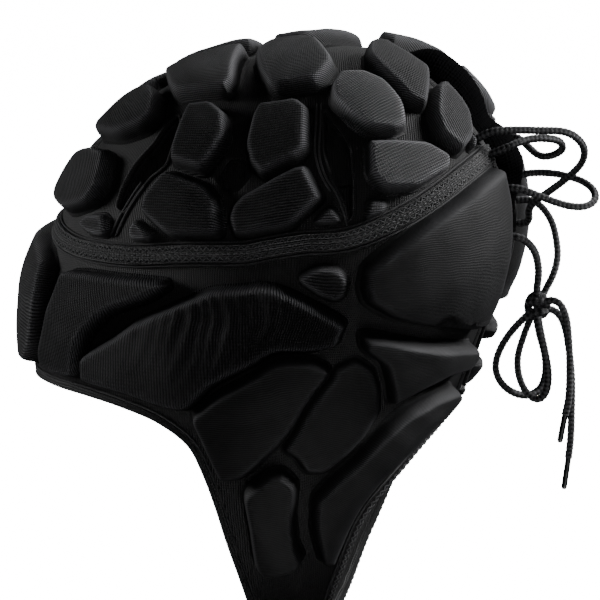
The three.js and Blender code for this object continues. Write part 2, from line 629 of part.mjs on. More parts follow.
for (const outline of VENTS) {
  const vent = prism(outline, -WEB - PAD_ROOT, PAD_ROOT);
  crown = crown.subtract(vent).subtract(mirrored(vent));
}
for (const corners of CROWN_BUMPS) {
  const solid = bump(corners);
  crown = crown.add(solid).add(mirrored(solid));
}
for (const corners of SIDE_BUMPS) side = side.add(bump(corners));

addNode('crown_shell', crown, 'web');
addNode('side_panel_left', side, 'web');
addNode('side_panel_right', mirrored(side), 'web');
addNode('chin_strap', strap, 'web');

// An outline of many corners is smooth enough with one point to each
const MANY_CORNERS = 12;

function smoothed(outline, soft) {
  return rounded(outline, soft, outline.length > MANY_CORNERS ? 1 : 2);
}

// Pads
for (const { name, centre, outline, soft } of CROWN_PADS) {
  const solid = keptClear(pad(smoothed(outline, soft), centre, CROWN_PAD, false, PAD_FLARE).subtract(coreGap));
  addNode(`pad_${name}_left`, solid, 'pad');
  addNode(`pad_${name}_right`, mirrored(solid), 'pad');
}
for (const { name, centre, outline, soft, height } of SIDE_PADS) {
  const solid = keptClear(pad(smoothed(outline, soft), centre, height, true, 0).subtract(coreGap));
  addNode(`pad_${name}_left`, solid, 'pad');
  addNode(`pad_${name}_right`, mirrored(solid), 'pad');
}

function forehead() {
  const right = [...FOREHEAD_HALF].reverse().map(([back, up]) => {
    const distance = Math.hypot(back, up);
    return [back, up].map((v) => v / distance * (2 * MIDLINE - distance));
  });
  const outline = smoothed([...FOREHEAD_HALF, ...right], FOREHEAD.soft);
  return keptClear(pad(outline, FOREHEAD.centre, SIDE_PAD, true, 0).subtract(coreGap));
}

addNode('forehead_pad', forehead(), 'pad');
addNode('seam_tape', tape, 'tape');
addNode('face_binding', faceBinding, 'binding');
addNode('neck_binding', neckBinding, 'binding');

// Tongue: a flat flange under both flaps with a bulge that fills the opening
const TONGUE_EASE = 1;          // degrees between the bulge and the edge of the opening
const TONGUE_CREST = 0.5;       // degrees that the bulge keeps on each side of the middle
// Section of the bulge: heights as shares of its full height, the shoulder as a share of its half width
const TONGUE_SECTION = { edgeHeight: 0.48, shoulder: 0.35, shoulderHeight: 0.8 };

function openingSide(angle) {
  const i = Math.max(OPENING.findIndex((row) => row.angle > angle), 1);
  const [low, high] = [OPENING[i - 1], OPENING[i]];
  const share = Math.max((angle - low.angle) / (high.angle - low.angle), 0);
  return low.side + (high.side - low.side) * share;
}

function tongue() {
  const under = -WEB - GAP;
  const flangeDegrees = TONGUE_FLANGE / HALF_WIDTH / DEG;
  const acrossMiddle = (angle, left) => {
    const inner = left.filter(([from]) => from < MIDLINE).reverse();
    const right = inner.map(([from, lift]) => [2 * MIDLINE - from, lift]);
    return [...left, ...right].map(([from, lift]) => onWeb(polar(angle, from), lift));
  };
  const flange = loft(TONGUE_ROWS.map(({ angle }) => {
    const edge = openingSide(angle) - flangeDegrees;
    const top = acrossMiddle(angle, [[edge, under], [MIDLINE, under]]);
    const bottom = acrossMiddle(angle, [[edge, under - TONGUE], [MIDLINE, under - TONGUE]]);
    return [...top, ...bottom.reverse()];
  }), false).intersect(core(under));
  const bulge = loft(TONGUE_ROWS.slice(1).map(({ angle, bulge: share }) => {
    const edge = Math.min(openingSide(angle) + TONGUE_EASE, MIDLINE - TONGUE_CREST);
    const high = under + (TONGUE_BULGE - under) * share;
    const low = under - TONGUE / 2;
    const shoulder = edge + (MIDLINE - edge) * TONGUE_SECTION.shoulder;
    const height = (part) => under + (high - under) * part;
    const top = acrossMiddle(angle, [
      [edge, low],
      [edge, height(TONGUE_SECTION.edgeHeight)],
      [shoulder, height(TONGUE_SECTION.shoulderHeight)],
      [MIDLINE, high],
    ]);
    return [...top, onWeb(polar(angle, MIDLINE), low)];
  }), false);
  return flange.add(bulge);
}

addNode('tongue', tongue(), 'tongue');

// Lace

const lacePoint = ([x, y, z]) => new THREE.Vector3(x, y, z + CENTRE_Z);

function knotSolid(grow) {
  const ball = new THREE.SphereGeometry(1, KNOT_SIDES, KNOT_SIDES / 2);
  ball.scale(KNOT.halfWidth + grow, KNOT.halfDepth + grow, KNOT.halfHeight + grow);
  const place = lacePoint([KNOT.x, KNOT.y, KNOT.z]);
  ball.translate(place.x, place.y, place.z);
  return fromGeometry(ball);
}

function tube(points, radius, steps) {
  const section = new THREE.Shape();
  for (let i = 0; i < LACE_SIDES; i += 1) {
    const turn = 2 * Math.PI * i / LACE_SIDES;
    const corner = [radius * Math.cos(turn), radius * Math.sin(turn)];
    if (i === 0) section.moveTo(...corner);
    else section.lineTo(...corner);
  }
  const path = new THREE.CatmullRomCurve3(points, false, 'centripetal');
  const count = steps || Math.ceil(path.getLength() / LACE_STEP);
  return fromGeometry(new THREE.ExtrudeGeometry(section, { steps: count, extrudePath: path }));
}

// The lace leaves an eyelet straight out of the web
function eyeletPoints([name, sign]) {
  return [-1, 2 * LACE].map((lift) => {
    const point = onWeb(EYELETS[name], lift);
    return new THREE.Vector3(point.x * sign, point.y, point.z);
  });
}

const LACE_IN_KNOT = 0.45;      // how far a lace end reaches towards the middle of the knot
const AGLET_START = 0.8;        // where the aglet starts on the last stretch of an end
const knotMiddle = lacePoint([KNOT.x, KNOT.y, KNOT.z]);
const knotRoom = knotSolid(GAP);

function laceRun({ from, to, points, tip }) {
  const inKnot = (place) => place.clone().lerp(knotMiddle, LACE_IN_KNOT);
  const middle = points.map(lacePoint);
  const start = from ? eyeletPoints(from) : [inKnot(middle[0])];
  const end = to ? eyeletPoints(to).reverse() : [inKnot(middle.at(-1))];
  const route = [...start, ...middle, ...(tip ? [] : end)];
  let solid = tube(route, LACE / 2).subtract(knotRoom).subtract(coreGap).subtract(tapeRoom);
  if (tip) {
    const last = middle.at(-1);
    const hold = middle.at(-2).clone().lerp(last, AGLET_START);
    solid = solid.add(tube([hold, lacePoint(tip)], AGLET / 2, 1));
  }
  return solid;
}

for (const run of LACE_RUNS) addNode(run.name, laceRun(run), 'lace');
addNode('lace_knot', knotSolid(0), 'lace');

export default group;
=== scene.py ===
import math

import bmesh
import bpy
import numpy as np
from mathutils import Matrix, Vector
from mathutils.geometry import delaunay_2d_cdt


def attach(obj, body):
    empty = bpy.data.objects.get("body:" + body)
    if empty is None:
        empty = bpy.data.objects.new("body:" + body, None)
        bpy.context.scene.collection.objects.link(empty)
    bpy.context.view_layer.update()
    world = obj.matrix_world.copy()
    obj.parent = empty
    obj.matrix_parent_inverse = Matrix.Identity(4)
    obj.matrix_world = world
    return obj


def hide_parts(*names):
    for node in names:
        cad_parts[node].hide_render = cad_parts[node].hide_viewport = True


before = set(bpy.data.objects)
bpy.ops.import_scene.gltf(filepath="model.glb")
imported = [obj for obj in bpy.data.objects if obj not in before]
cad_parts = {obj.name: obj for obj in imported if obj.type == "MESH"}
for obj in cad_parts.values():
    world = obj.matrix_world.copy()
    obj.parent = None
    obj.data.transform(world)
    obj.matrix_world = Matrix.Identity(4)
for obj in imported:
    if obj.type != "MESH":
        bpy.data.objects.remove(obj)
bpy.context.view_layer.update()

MM = 0.001

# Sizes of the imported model, from part.mjs
HALF_LENGTH = 105.0
CROWN_HEIGHT = 105.0
CHIN_DROP = 155.0
HALF_WIDTH = 79.0
SQUARE = 2.25
WEB = 3.0
CROWN_PAD = 8.0
SIDE_PAD = 8.0
EAR_PAD = 4.0
BUMP = 4.5
TAPE_WIDTH = 8.0
BINDING_WIDTH = 4.0
BINDING_PROUD = 1.0
TONGUE = 4.0
TONGUE_BULGE = 9.0
TONGUE_FLANGE = 9.0
LACE = 3.4
AGLET = 2.6
GAP = 0.3
MIDLINE = 90.0
CENTRE_Z = WEB - CROWN_HEIGHT

# angle round the temple, reach, fullness
PROFILE = np.array([
    (-90, 1.0, 0), (-60, 1.02, -0.02), (-35, 1.06, -0.05), (-12, 1.075, -0.05), (0, 1.045, -0.04),
    (12, 1.0, -0.03), (25, 0.98, -0.03), (45, 0.985, -0.02), (68, 0.985, 0), (90, 1.0, 0),
    (106, 1.065, 0.02), (122, 1.125, 0.04), (134, 1.12, 0.05), (146, 1.085, 0.05), (160, 1.015, 0.04),
    (172, 0.94, 0.02), (182, 0.87, 0), (192, 0.82, -0.02), (205, 0.8, -0.03), (225, 0.85, -0.03),
    (245, 0.94, -0.02),
], float)

TAPE_LINE = [(-86.3, 25.5), (-78, 23.4), (-70, 20.8), (-60, 18), (-50, 16), (-40, 15.2), (-30, 15.2), (-15, 16.5),
             (0, 17.3), (10, 17.6), (20, 18.8), (30, 23), (40, 29), (50, 36.3), (60, 43.5), (64, 46.3)]
FACE_LINE = [(-87.8, -18.8), (-75, -16.8), (-60, -14.4), (-50, -13.4), (-40, -12.9), (-30, -13.4), (-20.5, -15.3),
             (-14, -19), (-10.8, -24), (-8.3, -30), (-6.3, -37), (-4.3, -45), (-3.2, -53), (-3.3, -62), (-4.2, -75),
             (-5.3, -89.8)]
NECK_LINE = [(75.5, -29.3), (70, -29.3), (62, -29.8), (54, -31.2), (45, -33.8), (36.5, -36.5), (28.7, -40),
             (24.5, -44.5), (21.3, -50), (18.8, -56), (17.6, -63), (17.2, -75), (18, -88.2)]
# angle, side
OPENING = [(115, 88), (118, 83.5), (124, 80), (130, 78.5), (136, 77.5), (142, 78.5), (148, 80.5), (156, 80.5),
           (170, 80.5), (185, 80), (206, 80)]
# angle, bulge
TONGUE_ROWS = [(114, 0), (118, 0.6), (123, 1), (129, 0.95), (134, 0.75), (138, 0.5), (143, 0.85), (148, 0.95),
               (153, 0.7), (158, 0.35), (166, 0.25), (176, 0.2), (186, 0.2), (196, 0.1)]
VENTS = [
    [(-24.5, 53.5), (-27, 50), (-28.5, 44.5), (-33, 38.5), (-35.5, 32), (-36.5, 27), (-33.5, 25.5), (-30, 31),
     (-27, 35), (-23.3, 38), (-22.8, 44), (-22.6, 51)],
    [(15.2, 51), (15.3, 44), (15.5, 37), (17, 31.5), (19.5, 26), (20.3, 22.5), (21, 24), (20.8, 30), (20.5, 38),
     (19, 42.5), (16.5, 47)],
    [(-6.5, 39.5), (-3, 39.5), (0, 35.5), (-3, 31.5), (-5.5, 31), (-9, 34.5)],
]
CROWN_BUMPS = [
    [(-49.5, 21.5), (-46, 25), (-38.5, 25), (-37, 19), (-43, 18.8)],
    [(-31, 21), (-29, 24.5), (-23.5, 20.5), (-24.5, 18.5), (-29.5, 18.5)],
    [(16.5, 26), (19.7, 21.8), (12, 21)],
    [(24, 27.5), (29.5, 27), (27, 23.3), (24, 22.2)],
    [(52.5, 49.5), (55.5, 46.5), (54.5, 43.8), (52.3, 43)],
]
SIDE_BUMPS = [[(10, 11), (14, 13.4), (19.5, 13.6), (22, 11), (22, 8), (20, 6.5), (15.5, 7.5), (11, 9.5)]]

# name, height, softness of the corners, direction of the ribs in degrees, outline
PADS = [
    ("front_upper", CROWN_PAD, 0.55, 40, [
        (-32, 60.5), (-28.8, 52), (-31.3, 47.8), (-41, 45.4), (-57, 50), (-62, 55), (-57, 61), (-46, 67.5),
        (-38.5, 66.5)]),
    ("front_lower", CROWN_PAD, 0.6, 50, [
        (-41, 41), (-40, 32), (-44, 26.5), (-55, 24.5), (-66, 27.5), (-74, 32), (-72, 39), (-62, 45.5),
        (-50, 44.5)]),
    ("top_front", CROWN_PAD, 0.4, 0, [
        (-28.5, 60.5), (-25, 58), (-9.5, 57.5), (-8, 62), (-10.5, 75), (-12, 85.5), (-18.5, 85), (-37.5, 78.3),
        (-40.5, 74), (-34, 67)]),
    ("top_middle", CROWN_PAD, 0.5, 0, [
        (2, 57), (13.5, 56.5), (16, 59), (18.5, 65), (14, 81), (8, 87), (-4, 87), (-7, 77), (-3, 66)]),
    ("top_rear", CROWN_PAD, 0.45, 20, [
        (30, 79.5), (27, 76), (26, 67), (28.5, 60), (34, 51), (38.5, 50), (41, 58), (42.5, 64), (40, 73),
        (36, 78)]),
    ("upper_front", CROWN_PAD, 0.4, 0, [
        (-20, 54.5), (-13, 55), (-8, 51), (-6.5, 44.5), (-8.5, 40), (-11.5, 35.2), (-20.8, 37.6), (-21.3, 42)]),
    ("upper_rear", CROWN_PAD, 0.4, 0, [
        (0, 53.5), (9.5, 53.2), (12.5, 49.5), (12.5, 38.5), (10, 36), (2.8, 33.4), (-0.5, 37), (-2.3, 42),
        (-1.5, 50)]),
    ("lower_front", CROWN_PAD, 0.4, 0, [
        (-21.5, 36.2), (-10.8, 32.7), (-7.2, 29), (-5.8, 20.6), (-18.5, 19.6), (-27, 25.5), (-26, 30)]),
    ("lower_rear", CROWN_PAD, 0.4, 0, [
        (-1.5, 30.5), (9.5, 35), (12, 35), (15.3, 27), (13.5, 25), (9, 20.8), (-3.3, 20.6), (-4.8, 25),
        (-4, 28)]),
    ("rear_upper", CROWN_PAD, 0.5, -35, [
        (19, 60.5), (25, 60.5), (29.5, 57), (32.8, 50), (33, 44), (30, 42), (24.5, 41.8), (21, 45), (17.2, 51),
        (17, 56)]),
    ("rear_edge", CROWN_PAD, 0.45, 60, [
        (44.5, 61), (48.5, 60), (52, 52), (51.5, 45), (47, 40.3), (41, 43.5), (39.8, 49), (41.8, 57)]),
    ("rear_lower", CROWN_PAD, 0.4, -30, [
        (24, 39.5), (30, 40.2), (37.5, 41), (43.5, 39), (43.5, 36), (34.5, 30), (27, 29), (24, 32)]),
    ("temple", SIDE_PAD, 0.35, 70, [
        (-49, 10), (-19.5, 10.3), (-18.5, 8.5), (-24, 4.6), (-31, 1.5), (-38, -3.5), (-40.5, -10.5),
        (-53.5, -11.3), (-54.7, -8), (-51, 2)]),
    ("wing", SIDE_PAD, 0.5, 90, [
        (-39.3, -6.5), (-31, -3), (-24, 0.8), (-16, 5.5), (-8, 9.3), (2, 10), (9, 8), (20, 4.3), (24.5, 2),
        (24, -2.8), (18, -4), (9, -4.2), (0, -6.2), (-8, -9), (-13.5, -13), (-19, -12.5), (-28, -11),
        (-39, -10.6)]),
    ("cheek", SIDE_PAD, 0.5, 0, [
        (-12.8, -13.8), (-6.5, -10.4), (0, -7.9), (5, -6.4), (11, -5.6), (18, -5.8), (23, -7.5), (21.5, -9.6),
        (18, -12), (10.5, -17.2), (5, -20.2), (-1.5, -23.8), (-6.5, -24.6), (-9, -20.5)]),
    ("rear", SIDE_PAD, 0.4, 0, [
        (24.8, 14), (31.5, 19.3), (39.5, 25.2), (49.5, 33), (58, 39.5), (64, 41), (68, 33), (70, 25), (71.5, 15),
        (72, 5), (72.5, -3), (66, -3.2), (58, -1.5), (47, 0.5), (36, 3), (27.3, 6.8), (25, 10)]),
    ("nape_upper", SIDE_PAD, 0.5, 0, [
        (28.5, -0.2), (36, -1.2), (46, -3.2), (58, -5.2), (71, -7.5), (73, -11), (69, -14), (58, -13),
        (50, -14.2), (43, -16), (40.3, -17), (39, -12), (36.5, -7), (30.5, -3.8)]),
    ("nape_lower", SIDE_PAD, 0.5, 0, [
        (39.5, -21.3), (46, -19), (54, -17.4), (64, -17.6), (67.5, -20.5), (63.5, -26.2), (54, -27.8),
        (44, -30.3), (35, -33), (27.5, -36.6), (22.6, -41.5), (20, -46), (16.5, -44), (14.7, -36),
        (15.2, -30), (20, -28.4), (27, -26.7), (33, -24.2)]),
    ("ear", EAR_PAD, 0.5, 0, [
        (24.7, -7.5), (29.5, -5.9), (34.5, -8.5), (37, -13), (37.2, -18), (32, -22.4), (26, -25),
        (19, -26.6), (13.7, -25.3), (11.5, -22.3), (8, -20.4), (13, -17.3), (19.2, -13), (23.5, -10)]),
    ("jaw", SIDE_PAD, 0.5, 0, [
        (-2, -26.6), (4, -23.4), (8, -23.6), (11.5, -26.6), (10.2, -33), (10.5, -38), (12, -41.5),
        (9.5, -43.5), (1.5, -43.8), (-0.5, -41), (-1, -33)]),
]
FOREHEAD_HALF = [(-87.6, 20.5), (-76, 18.6), (-64, 14.5), (-57.5, 10), (-56.5, 0), (-58.5, -8.5), (-63, -12.3),
                 (-75, -14.6), (-88.4, -16.4)]

EYELETS = {"top": (58.5, 49), "upper": (63, 45.3), "middle": (69.5, 36.5), "between": (73, 30),
           "lower": (75.3, 23.5)}
KNOT = (0.0, 111.8, -2.5)
KNOT_HALF = (4.8, 5.0, 6.4)
# name, from, to, points from the temple level, tip
LACE_RUNS = [
    ("lace_loop_1", ("upper", 1), ("upper", -1), [
        (12, 108.4, 72.5), (8, 116.4, 72.4), (3, 120.8, 70.5), (-1, 121.8, 67), (-5, 118, 63.5),
        (-9, 111, 61.6)], None),
    ("lace_loop_2", ("top", 1), ("lower", -1), [
        (16, 113, 77), (12, 124.7, 76), (8, 129.7, 72), (4, 131.6, 67.1), (0, 130, 61), (-3, 125.4, 55.5),
        (-7, 118.5, 49.3), (-10.5, 111.5, 43.6), (-13.5, 105.5, 37.6)], None),
    ("lace_loop_3", ("middle", 1), ("middle", -1), [
        (15, 115.4, 47.9), (12, 124.7, 44.4), (9, 132.1, 43.4), (4, 136.2, 45.1), (-1, 135.7, 48.3),
        (-6, 131, 51.3), (-10, 123.1, 53.1), (-13, 114.7, 53.8)], None),
    ("lace_strand_1", ("between", -1), None, [
        (-16.5, 109.5, 39.5), (-12, 115.7, 33.2), (-9, 118.5, 24.9), (-6, 119.5, 18.4), (-3, 118.3, 11.5),
        (-2, 115, 4.6)], None),
    ("lace_strand_2", ("lower", 1), None, [
        (14.5, 107.2, 29.5), (11, 110.8, 25), (7, 112.3, 18.8), (4.4, 112.6, 12), (3, 111.6, 5)], None),
    ("bow_loop_1", None, None, [
        (4.5, 107.6, -6.1), (5, 101.3, -13), (5, 96, -21.9), (5, 94.2, -30), (3, 97, -37.4), (0, 102.1, -42),
        (-3, 107.7, -43.5), (-6, 112.5, -41.5), (-7, 114.9, -35.1), (-6, 114.7, -25.6), (-4.8, 112.4, -16.6),
        (-4, 111, -9)], None),
    ("bow_loop_2", None, None, [
        (-0.6, 108.4, -9), (1, 105.6, -17.2), (2, 103.6, -25.2), (1.5, 104.1, -33.4), (3, 107.5, -40.4),
        (5, 112.8, -43.7), (6, 116.5, -40.3), (5.5, 117.6, -31.7), (5, 115.9, -22.1), (4.6, 113.8, -13.4),
        (3.6, 112.6, -8)], None),
    ("lace_end_1", None, None, [
        (3, 117, 1), (4, 121.4, 0.6), (4, 124.5, -5.2), (4, 125.9, -14.6), (4, 126.7, -30.1), (4, 126.3, -43.4),
        (4, 125, -49.6)], (4, 122.8, -62.1)),
    ("lace_end_2", None, None, [
        (-2, 116.5, -4), (-1.3, 120.2, -5), (-1, 123.4, -10.5), (-1, 125.4, -20), (-1, 127, -33.3),
        (-1, 127.2, -48.9), (-1, 127, -62.2), (-1, 126.2, -70.2)], (-1, 124.4, -84.4)),
]


# The web surface over the side map: places are degrees back and up from the temple

def unit(vectors):
    return vectors / np.linalg.norm(vectors, axis=-1, keepdims=True)


def profile_at(angle):
    """Reach and fullness of the web in a direction round the temple."""
    xs = np.concatenate([PROFILE[:, 0] - 360, PROFILE[:, 0], PROFILE[:, 0] + 360])
    ys = np.tile(PROFILE[:, 1:], (3, 1))
    slope = np.zeros_like(ys)
    slope[1:-1] = (ys[2:] - ys[:-2]) / (xs[2:] - xs[:-2])[:, None]
    turned = (np.asarray(angle, float) + 90) % 360 - 90
    i = np.clip(np.searchsorted(xs, turned, side="right") - 1, 0, len(xs) - 2)
    span = (xs[i + 1] - xs[i])[..., None]
    t = (turned - xs[i])[..., None] / span
    return ((2 * t**3 - 3 * t**2 + 1) * ys[i] + (t**3 - 2 * t**2 + t) * span * slope[i]
            + (3 * t**2 - 2 * t**3) * ys[i + 1] + (t**3 - t**2) * span * slope[i + 1])


def web_point(place):
    place = np.asarray(place, float)
    back, up = place[..., 0], place[..., 1]
    side = np.radians(np.hypot(back, up))
    around = np.arctan2(up, -back)
    rows = profile_at(np.degrees(around))
    reach, full = rows[..., 0], rows[..., 1]
    size = (np.abs(np.cos(side))**SQUARE + np.abs(np.sin(side))**SQUARE)**(1 / SQUARE)
    out, across = np.cos(side) / size, np.sin(side) / size
    height = np.where(np.sin(around) >= 0, CROWN_HEIGHT, CHIN_DROP)
    return np.stack([
        HALF_WIDTH * out * (1 + full * np.sin(side)**2),
        -HALF_LENGTH * reach * np.cos(around) * across,
        CENTRE_Z + height * reach * np.sin(around) * across,
    ], -1)


STEP = 0.05                     # degrees, for slopes


def slopes(place):
    """Change of the surface point for one degree back and for one degree up."""
    place = np.asarray(place, float)
    back = web_point(place + [STEP, 0]) - web_point(place - [STEP, 0])
    up = web_point(place + [0, STEP]) - web_point(place - [0, STEP])
    return back / (2 * STEP), up / (2 * STEP)


def web_normal(place):
    return unit(np.cross(*slopes(place)))


def lifted(place, lift):
    return web_point(place) + web_normal(place) * np.asarray(lift, float)[..., None]


def moved(place, offset):
    """Map place after a small move by a vector in space."""
    back, up = slopes(place)
    bb, uu, bu = (back * back).sum(-1), (up * up).sum(-1), (back * up).sum(-1)
    ob, ou = (offset * back).sum(-1), (offset * up).sum(-1)
    det = bb * uu - bu * bu
    return np.asarray(place, float) + np.stack([(ob * uu - ou * bu) / det, (ou * bb - ob * bu) / det], -1)


def polar(angle, side):
    angle = np.radians(angle)
    return np.stack([-side * np.cos(angle), side * np.sin(angle)], -1)


# Curves

CURVE_STEPS = 24                # places on a curve between two of its points
CORNER_STEPS = 9


def between(t, start, end, a, b):
    return (end - t) / (end - start) * a + (t - start) / (end - start) * b


def run_of(line):
    """Length of an open line up to each of its points."""
    return np.concatenate([[0], np.cumsum(np.linalg.norm(np.diff(line, axis=0), axis=1))])


def read_at(run, at, values):
    """Values that go with a run, read at other lengths of it."""
    return np.stack([np.interp(at, run, column) for column in values.T], -1)


def even(points, count):
    """The same open line with count places at even steps."""
    run = run_of(points)
    return read_at(run, np.linspace(0, run[-1], count), points)


def catmull(points, count):
    """Centripetal curve through the points, as count places at even steps."""
    points = np.asarray(points, float)
    p = np.concatenate([[2 * points[0] - points[1]], points, [2 * points[-1] - points[-2]]])
    dense = []
    for i in range(1, len(p) - 2):
        p0, p1, p2, p3 = p[i - 1:i + 3]
        t0, t1, t2, t3 = np.cumsum([0, *[np.linalg.norm(step)**0.5 for step in (p1 - p0, p2 - p1, p3 - p2)]])
        t = np.linspace(t1, t2, CURVE_STEPS, endpoint=False)[:, None]
        a1, a2, a3 = between(t, t0, t1, p0, p1), between(t, t1, t2, p1, p2), between(t, t2, t3, p2, p3)
        dense.append(between(t, t1, t2, between(t, t0, t2, a1, a2), between(t, t1, t3, a2, a3)))
    return even(np.concatenate([*dense, points[-1:]]), count)


def length_of(points):
    return float(np.linalg.norm(np.diff(points, axis=0), axis=1).sum())


def closed_even(points, step):
    """Closed map outline with places about step mm apart in space."""
    ring = np.concatenate([points, points[:1]])
    run = run_of(web_point(ring))
    return read_at(run, np.linspace(0, run[-1], max(int(run[-1] / step), 12), endpoint=False), ring)


def rounded(corners, soft, step):
    """Closed outline with its corners rounded off, counter-clockwise on the map."""
    corners = np.asarray(corners, float)
    points = []
    t = np.linspace(0, 1, CORNER_STEPS)[:, None]
    for before, corner, after in zip(np.roll(corners, 1, 0), corners, np.roll(corners, -1, 0)):
        start, end = corner + (before - corner) * soft / 2, corner + (after - corner) * soft / 2
        points.extend((1 - t)**2 * start + 2 * t * (1 - t) * corner + t**2 * end)
    points = np.array(points)
    following = np.roll(points, -1, 0)
    area = (points[:, 0] * following[:, 1] - following[:, 0] * points[:, 1]).sum()
    return closed_even(points if area > 0 else points[::-1], step)


def inside(points, polygon):
    x, y = points[:, 0][:, None], points[:, 1][:, None]
    ax, ay = polygon[:, 0], polygon[:, 1]
    bx, by = np.roll(ax, -1), np.roll(ay, -1)
    crossing = (ay > y) != (by > y)
    cut = ax + (y - ay) / np.where(by == ay, 1e-12, by - ay) * (bx - ax)
    return (crossing & (x < cut)).sum(1) % 2 == 1


def along_ring(space):
    return np.roll(space, -1, 0) - np.roll(space, 1, 0)


def distance(points, line, closed=False):
    """Distance of points in space from a line of points in space."""
    a = np.asarray(line)
    b = np.roll(a, -1, 0) if closed else a[1:]
    a = a if closed else a[:-1]
    best = np.full(len(points), np.inf)
    for start in range(0, len(a), 64):
        p, q = a[start:start + 64], b[start:start + 64]
        d = q - p
        rel = points[:, None] - p
        t = np.clip((rel * d).sum(-1) / np.maximum((d * d).sum(-1), 1e-12), 0, 1)
        best = np.minimum(best, np.linalg.norm(rel - t[..., None] * d, axis=-1).min(1))
    return best


# Meshes. A shape is its points in millimetres, faces, weave coordinates in millimetres and painted sheen at each point.

TUBE_START = [0.3, 0.2, 0.9]    # a direction that no tube starts in
BRAID_REPEAT = 2.4              # of a braid's strands, in radii
TIP = 0.55                      # share of the radius at a tapered end


def placed(name, data):
    thing = bpy.data.objects.new(name, data)
    bpy.context.scene.collection.objects.link(thing)
    return thing


def smooth_mesh(name, points, faces, material):
    mesh = bpy.data.meshes.new(name)
    mesh.from_pydata((np.asarray(points) * MM).tolist(), [], [tuple(map(int, f)) for f in faces])
    mesh.shade_smooth()
    mesh.materials.append(material)
    return mesh


def make(name, shape, material):
    """Mesh piece of a shape."""
    points, faces, uv, wear = shape
    mesh = smooth_mesh(name, points, faces, material)
    if uv is not None:
        corner = np.empty(len(mesh.loops), dtype=np.int32)
        mesh.loops.foreach_get("vertex_index", corner)
        mesh.uv_layers.new(name="weave").data.foreach_set("uv", uv[corner].astype(np.float32).ravel())
    if wear is not None:
        mesh.attributes.new("wear", "FLOAT", "POINT").data.foreach_set("value", wear.astype(np.float32))
    piece = placed(name, mesh)
    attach(piece, "root")
    return piece


def with_bmesh(piece, change):
    mesh = bmesh.new()
    mesh.from_mesh(piece.data)
    change(mesh)
    mesh.to_mesh(piece.data)
    mesh.free()


def outward(piece):
    with_bmesh(piece, lambda mesh: bmesh.ops.recalc_face_normals(mesh, faces=mesh.faces))


def mirrored(shape):
    points, faces, uv, wear = shape
    return points * [-1, 1, 1], [tuple(reversed(f)) for f in faces], uv, wear


def both_sides(name, shape, material):
    """The piece and its mirror image, as two pieces."""
    return make(f"{name}_left", shape, material), make(f"{name}_right", mirrored(shape), material)


def merged(shapes):
    starts = np.cumsum([0, *[len(shape[0]) for shape in shapes]])
    faces = [tuple(i + start for i in face) for start, shape in zip(starts, shapes) for face in shape[1]]
    points, uv, wear = (np.concatenate([shape[k] for shape in shapes]) for k in (0, 2, 3))
    return points, faces, uv, wear


def ring_edges(start, count):
    return [(start + i, start + (i + 1) % count) for i in range(count)]


def ring_faces(count, size, closed):
    """Faces between rings of points that follow each other, with two caps where the run is open."""
    faces = []
    for i in range(count if closed else count - 1):
        this, following = i * size, (i + 1) % count * size
        faces.extend((this + k, this + m, following + m, following + k) for k, m in ring_edges(0, size))
    if not closed:
        faces.append(tuple(range(size))[::-1])
        faces.append(tuple(range((count - 1) * size, count * size)))
    return faces


def tube(path, radius, sides=8, braid=0.0, closed=False, taper=0.0):
    """Round tube along a path; braid raises crossing strands by a share of the radius."""
    path = np.asarray(path, float)
    count = len(path)
    longer = np.pad(path, ((1, 1), (0, 0)), mode="wrap" if closed else "edge")
    along = unit(longer[2:] - longer[:-2])
    side = [unit(np.cross(along[0], TUBE_START))]
    for direction in along[1:]:
        side.append(unit(side[-1] - direction * (side[-1] @ direction)))
    side = np.array(side)
    if closed:
        gap = math.atan2(np.cross(side[-1], side[0]) @ along[0], side[-1] @ side[0])
        turn = (gap * np.arange(count) / count)[:, None]
        side = side * np.cos(turn) + np.cross(along, side) * np.sin(turn)
    other = np.cross(along, side)
    run = run_of(path)
    theta = np.arange(sides) * 2 * np.pi / sides
    size = np.full((count, sides), float(radius))
    wear = np.zeros((count, sides))
    if taper:
        ends = np.minimum(run, run[-1] - run)
        size *= (TIP + (1 - TIP) * np.sqrt(np.clip(ends / taper, 0, 1)))[:, None]
    if braid:
        pitch = 2 * np.pi / (BRAID_REPEAT * radius)
        wave = np.cos(2 * theta[None] + pitch * run[:, None]) * np.cos(2 * theta[None] - pitch * run[:, None])
        size *= 1 + braid * wave
        # Painted highlight on the raised crossings of the braid and painted shade between them.
        wear = np.clip(0.5 + 0.9 * wave, 0, 1)
    ring = side[:, None] * np.cos(theta)[None, :, None] + other[:, None] * np.sin(theta)[None, :, None]
    points = (path[:, None] + ring * size[..., None]).reshape(-1, 3)
    uv = np.stack(np.broadcast_arrays(theta[None] * radius, run[:, None]), -1).reshape(-1, 2)
    return points, ring_faces(count, sides, closed), uv, wear.ravel()


# Materials

SHEEN_ROUGHNESS, SHEEN_TINT = 0.45, (0.8, 0.82, 0.86, 1)
COURSE_RELIEF, GRAIN_RELIEF, HOLE_RELIEF = 0.45, 2.0, 3.0   # next to that of the ribs
GROOVE_SHADE, RIDGE_HIGHLIGHT = 0.25, 1.8       # painted shade between the ribs and painted highlight on them, as shares of the colour


def fill(tree, node, values):
    """Set or link a node's sockets, by name or number."""
    for socket, value in values.items():
        if isinstance(value, bpy.types.NodeSocket):
            tree.links.new(value, node.inputs[socket])
        else:
            node.inputs[socket].default_value = value
    return node


def add_node(tree, kind, **values):
    return fill(tree, tree.nodes.new(f"ShaderNode{kind}"), values)


def nodes_of(name, colour, roughness, sheen, specular):
    material = bpy.data.materials.new(name)
    material.use_nodes = True
    tree = material.node_tree
    shader = fill(tree, tree.nodes["Principled BSDF"], {
        "Base Color": (*colour, 1), "Roughness": roughness, "Specular IOR Level": specular, "Sheen Weight": sheen,
        "Sheen Roughness": SHEEN_ROUGHNESS, "Sheen Tint": SHEEN_TINT})
    return material, tree, shader


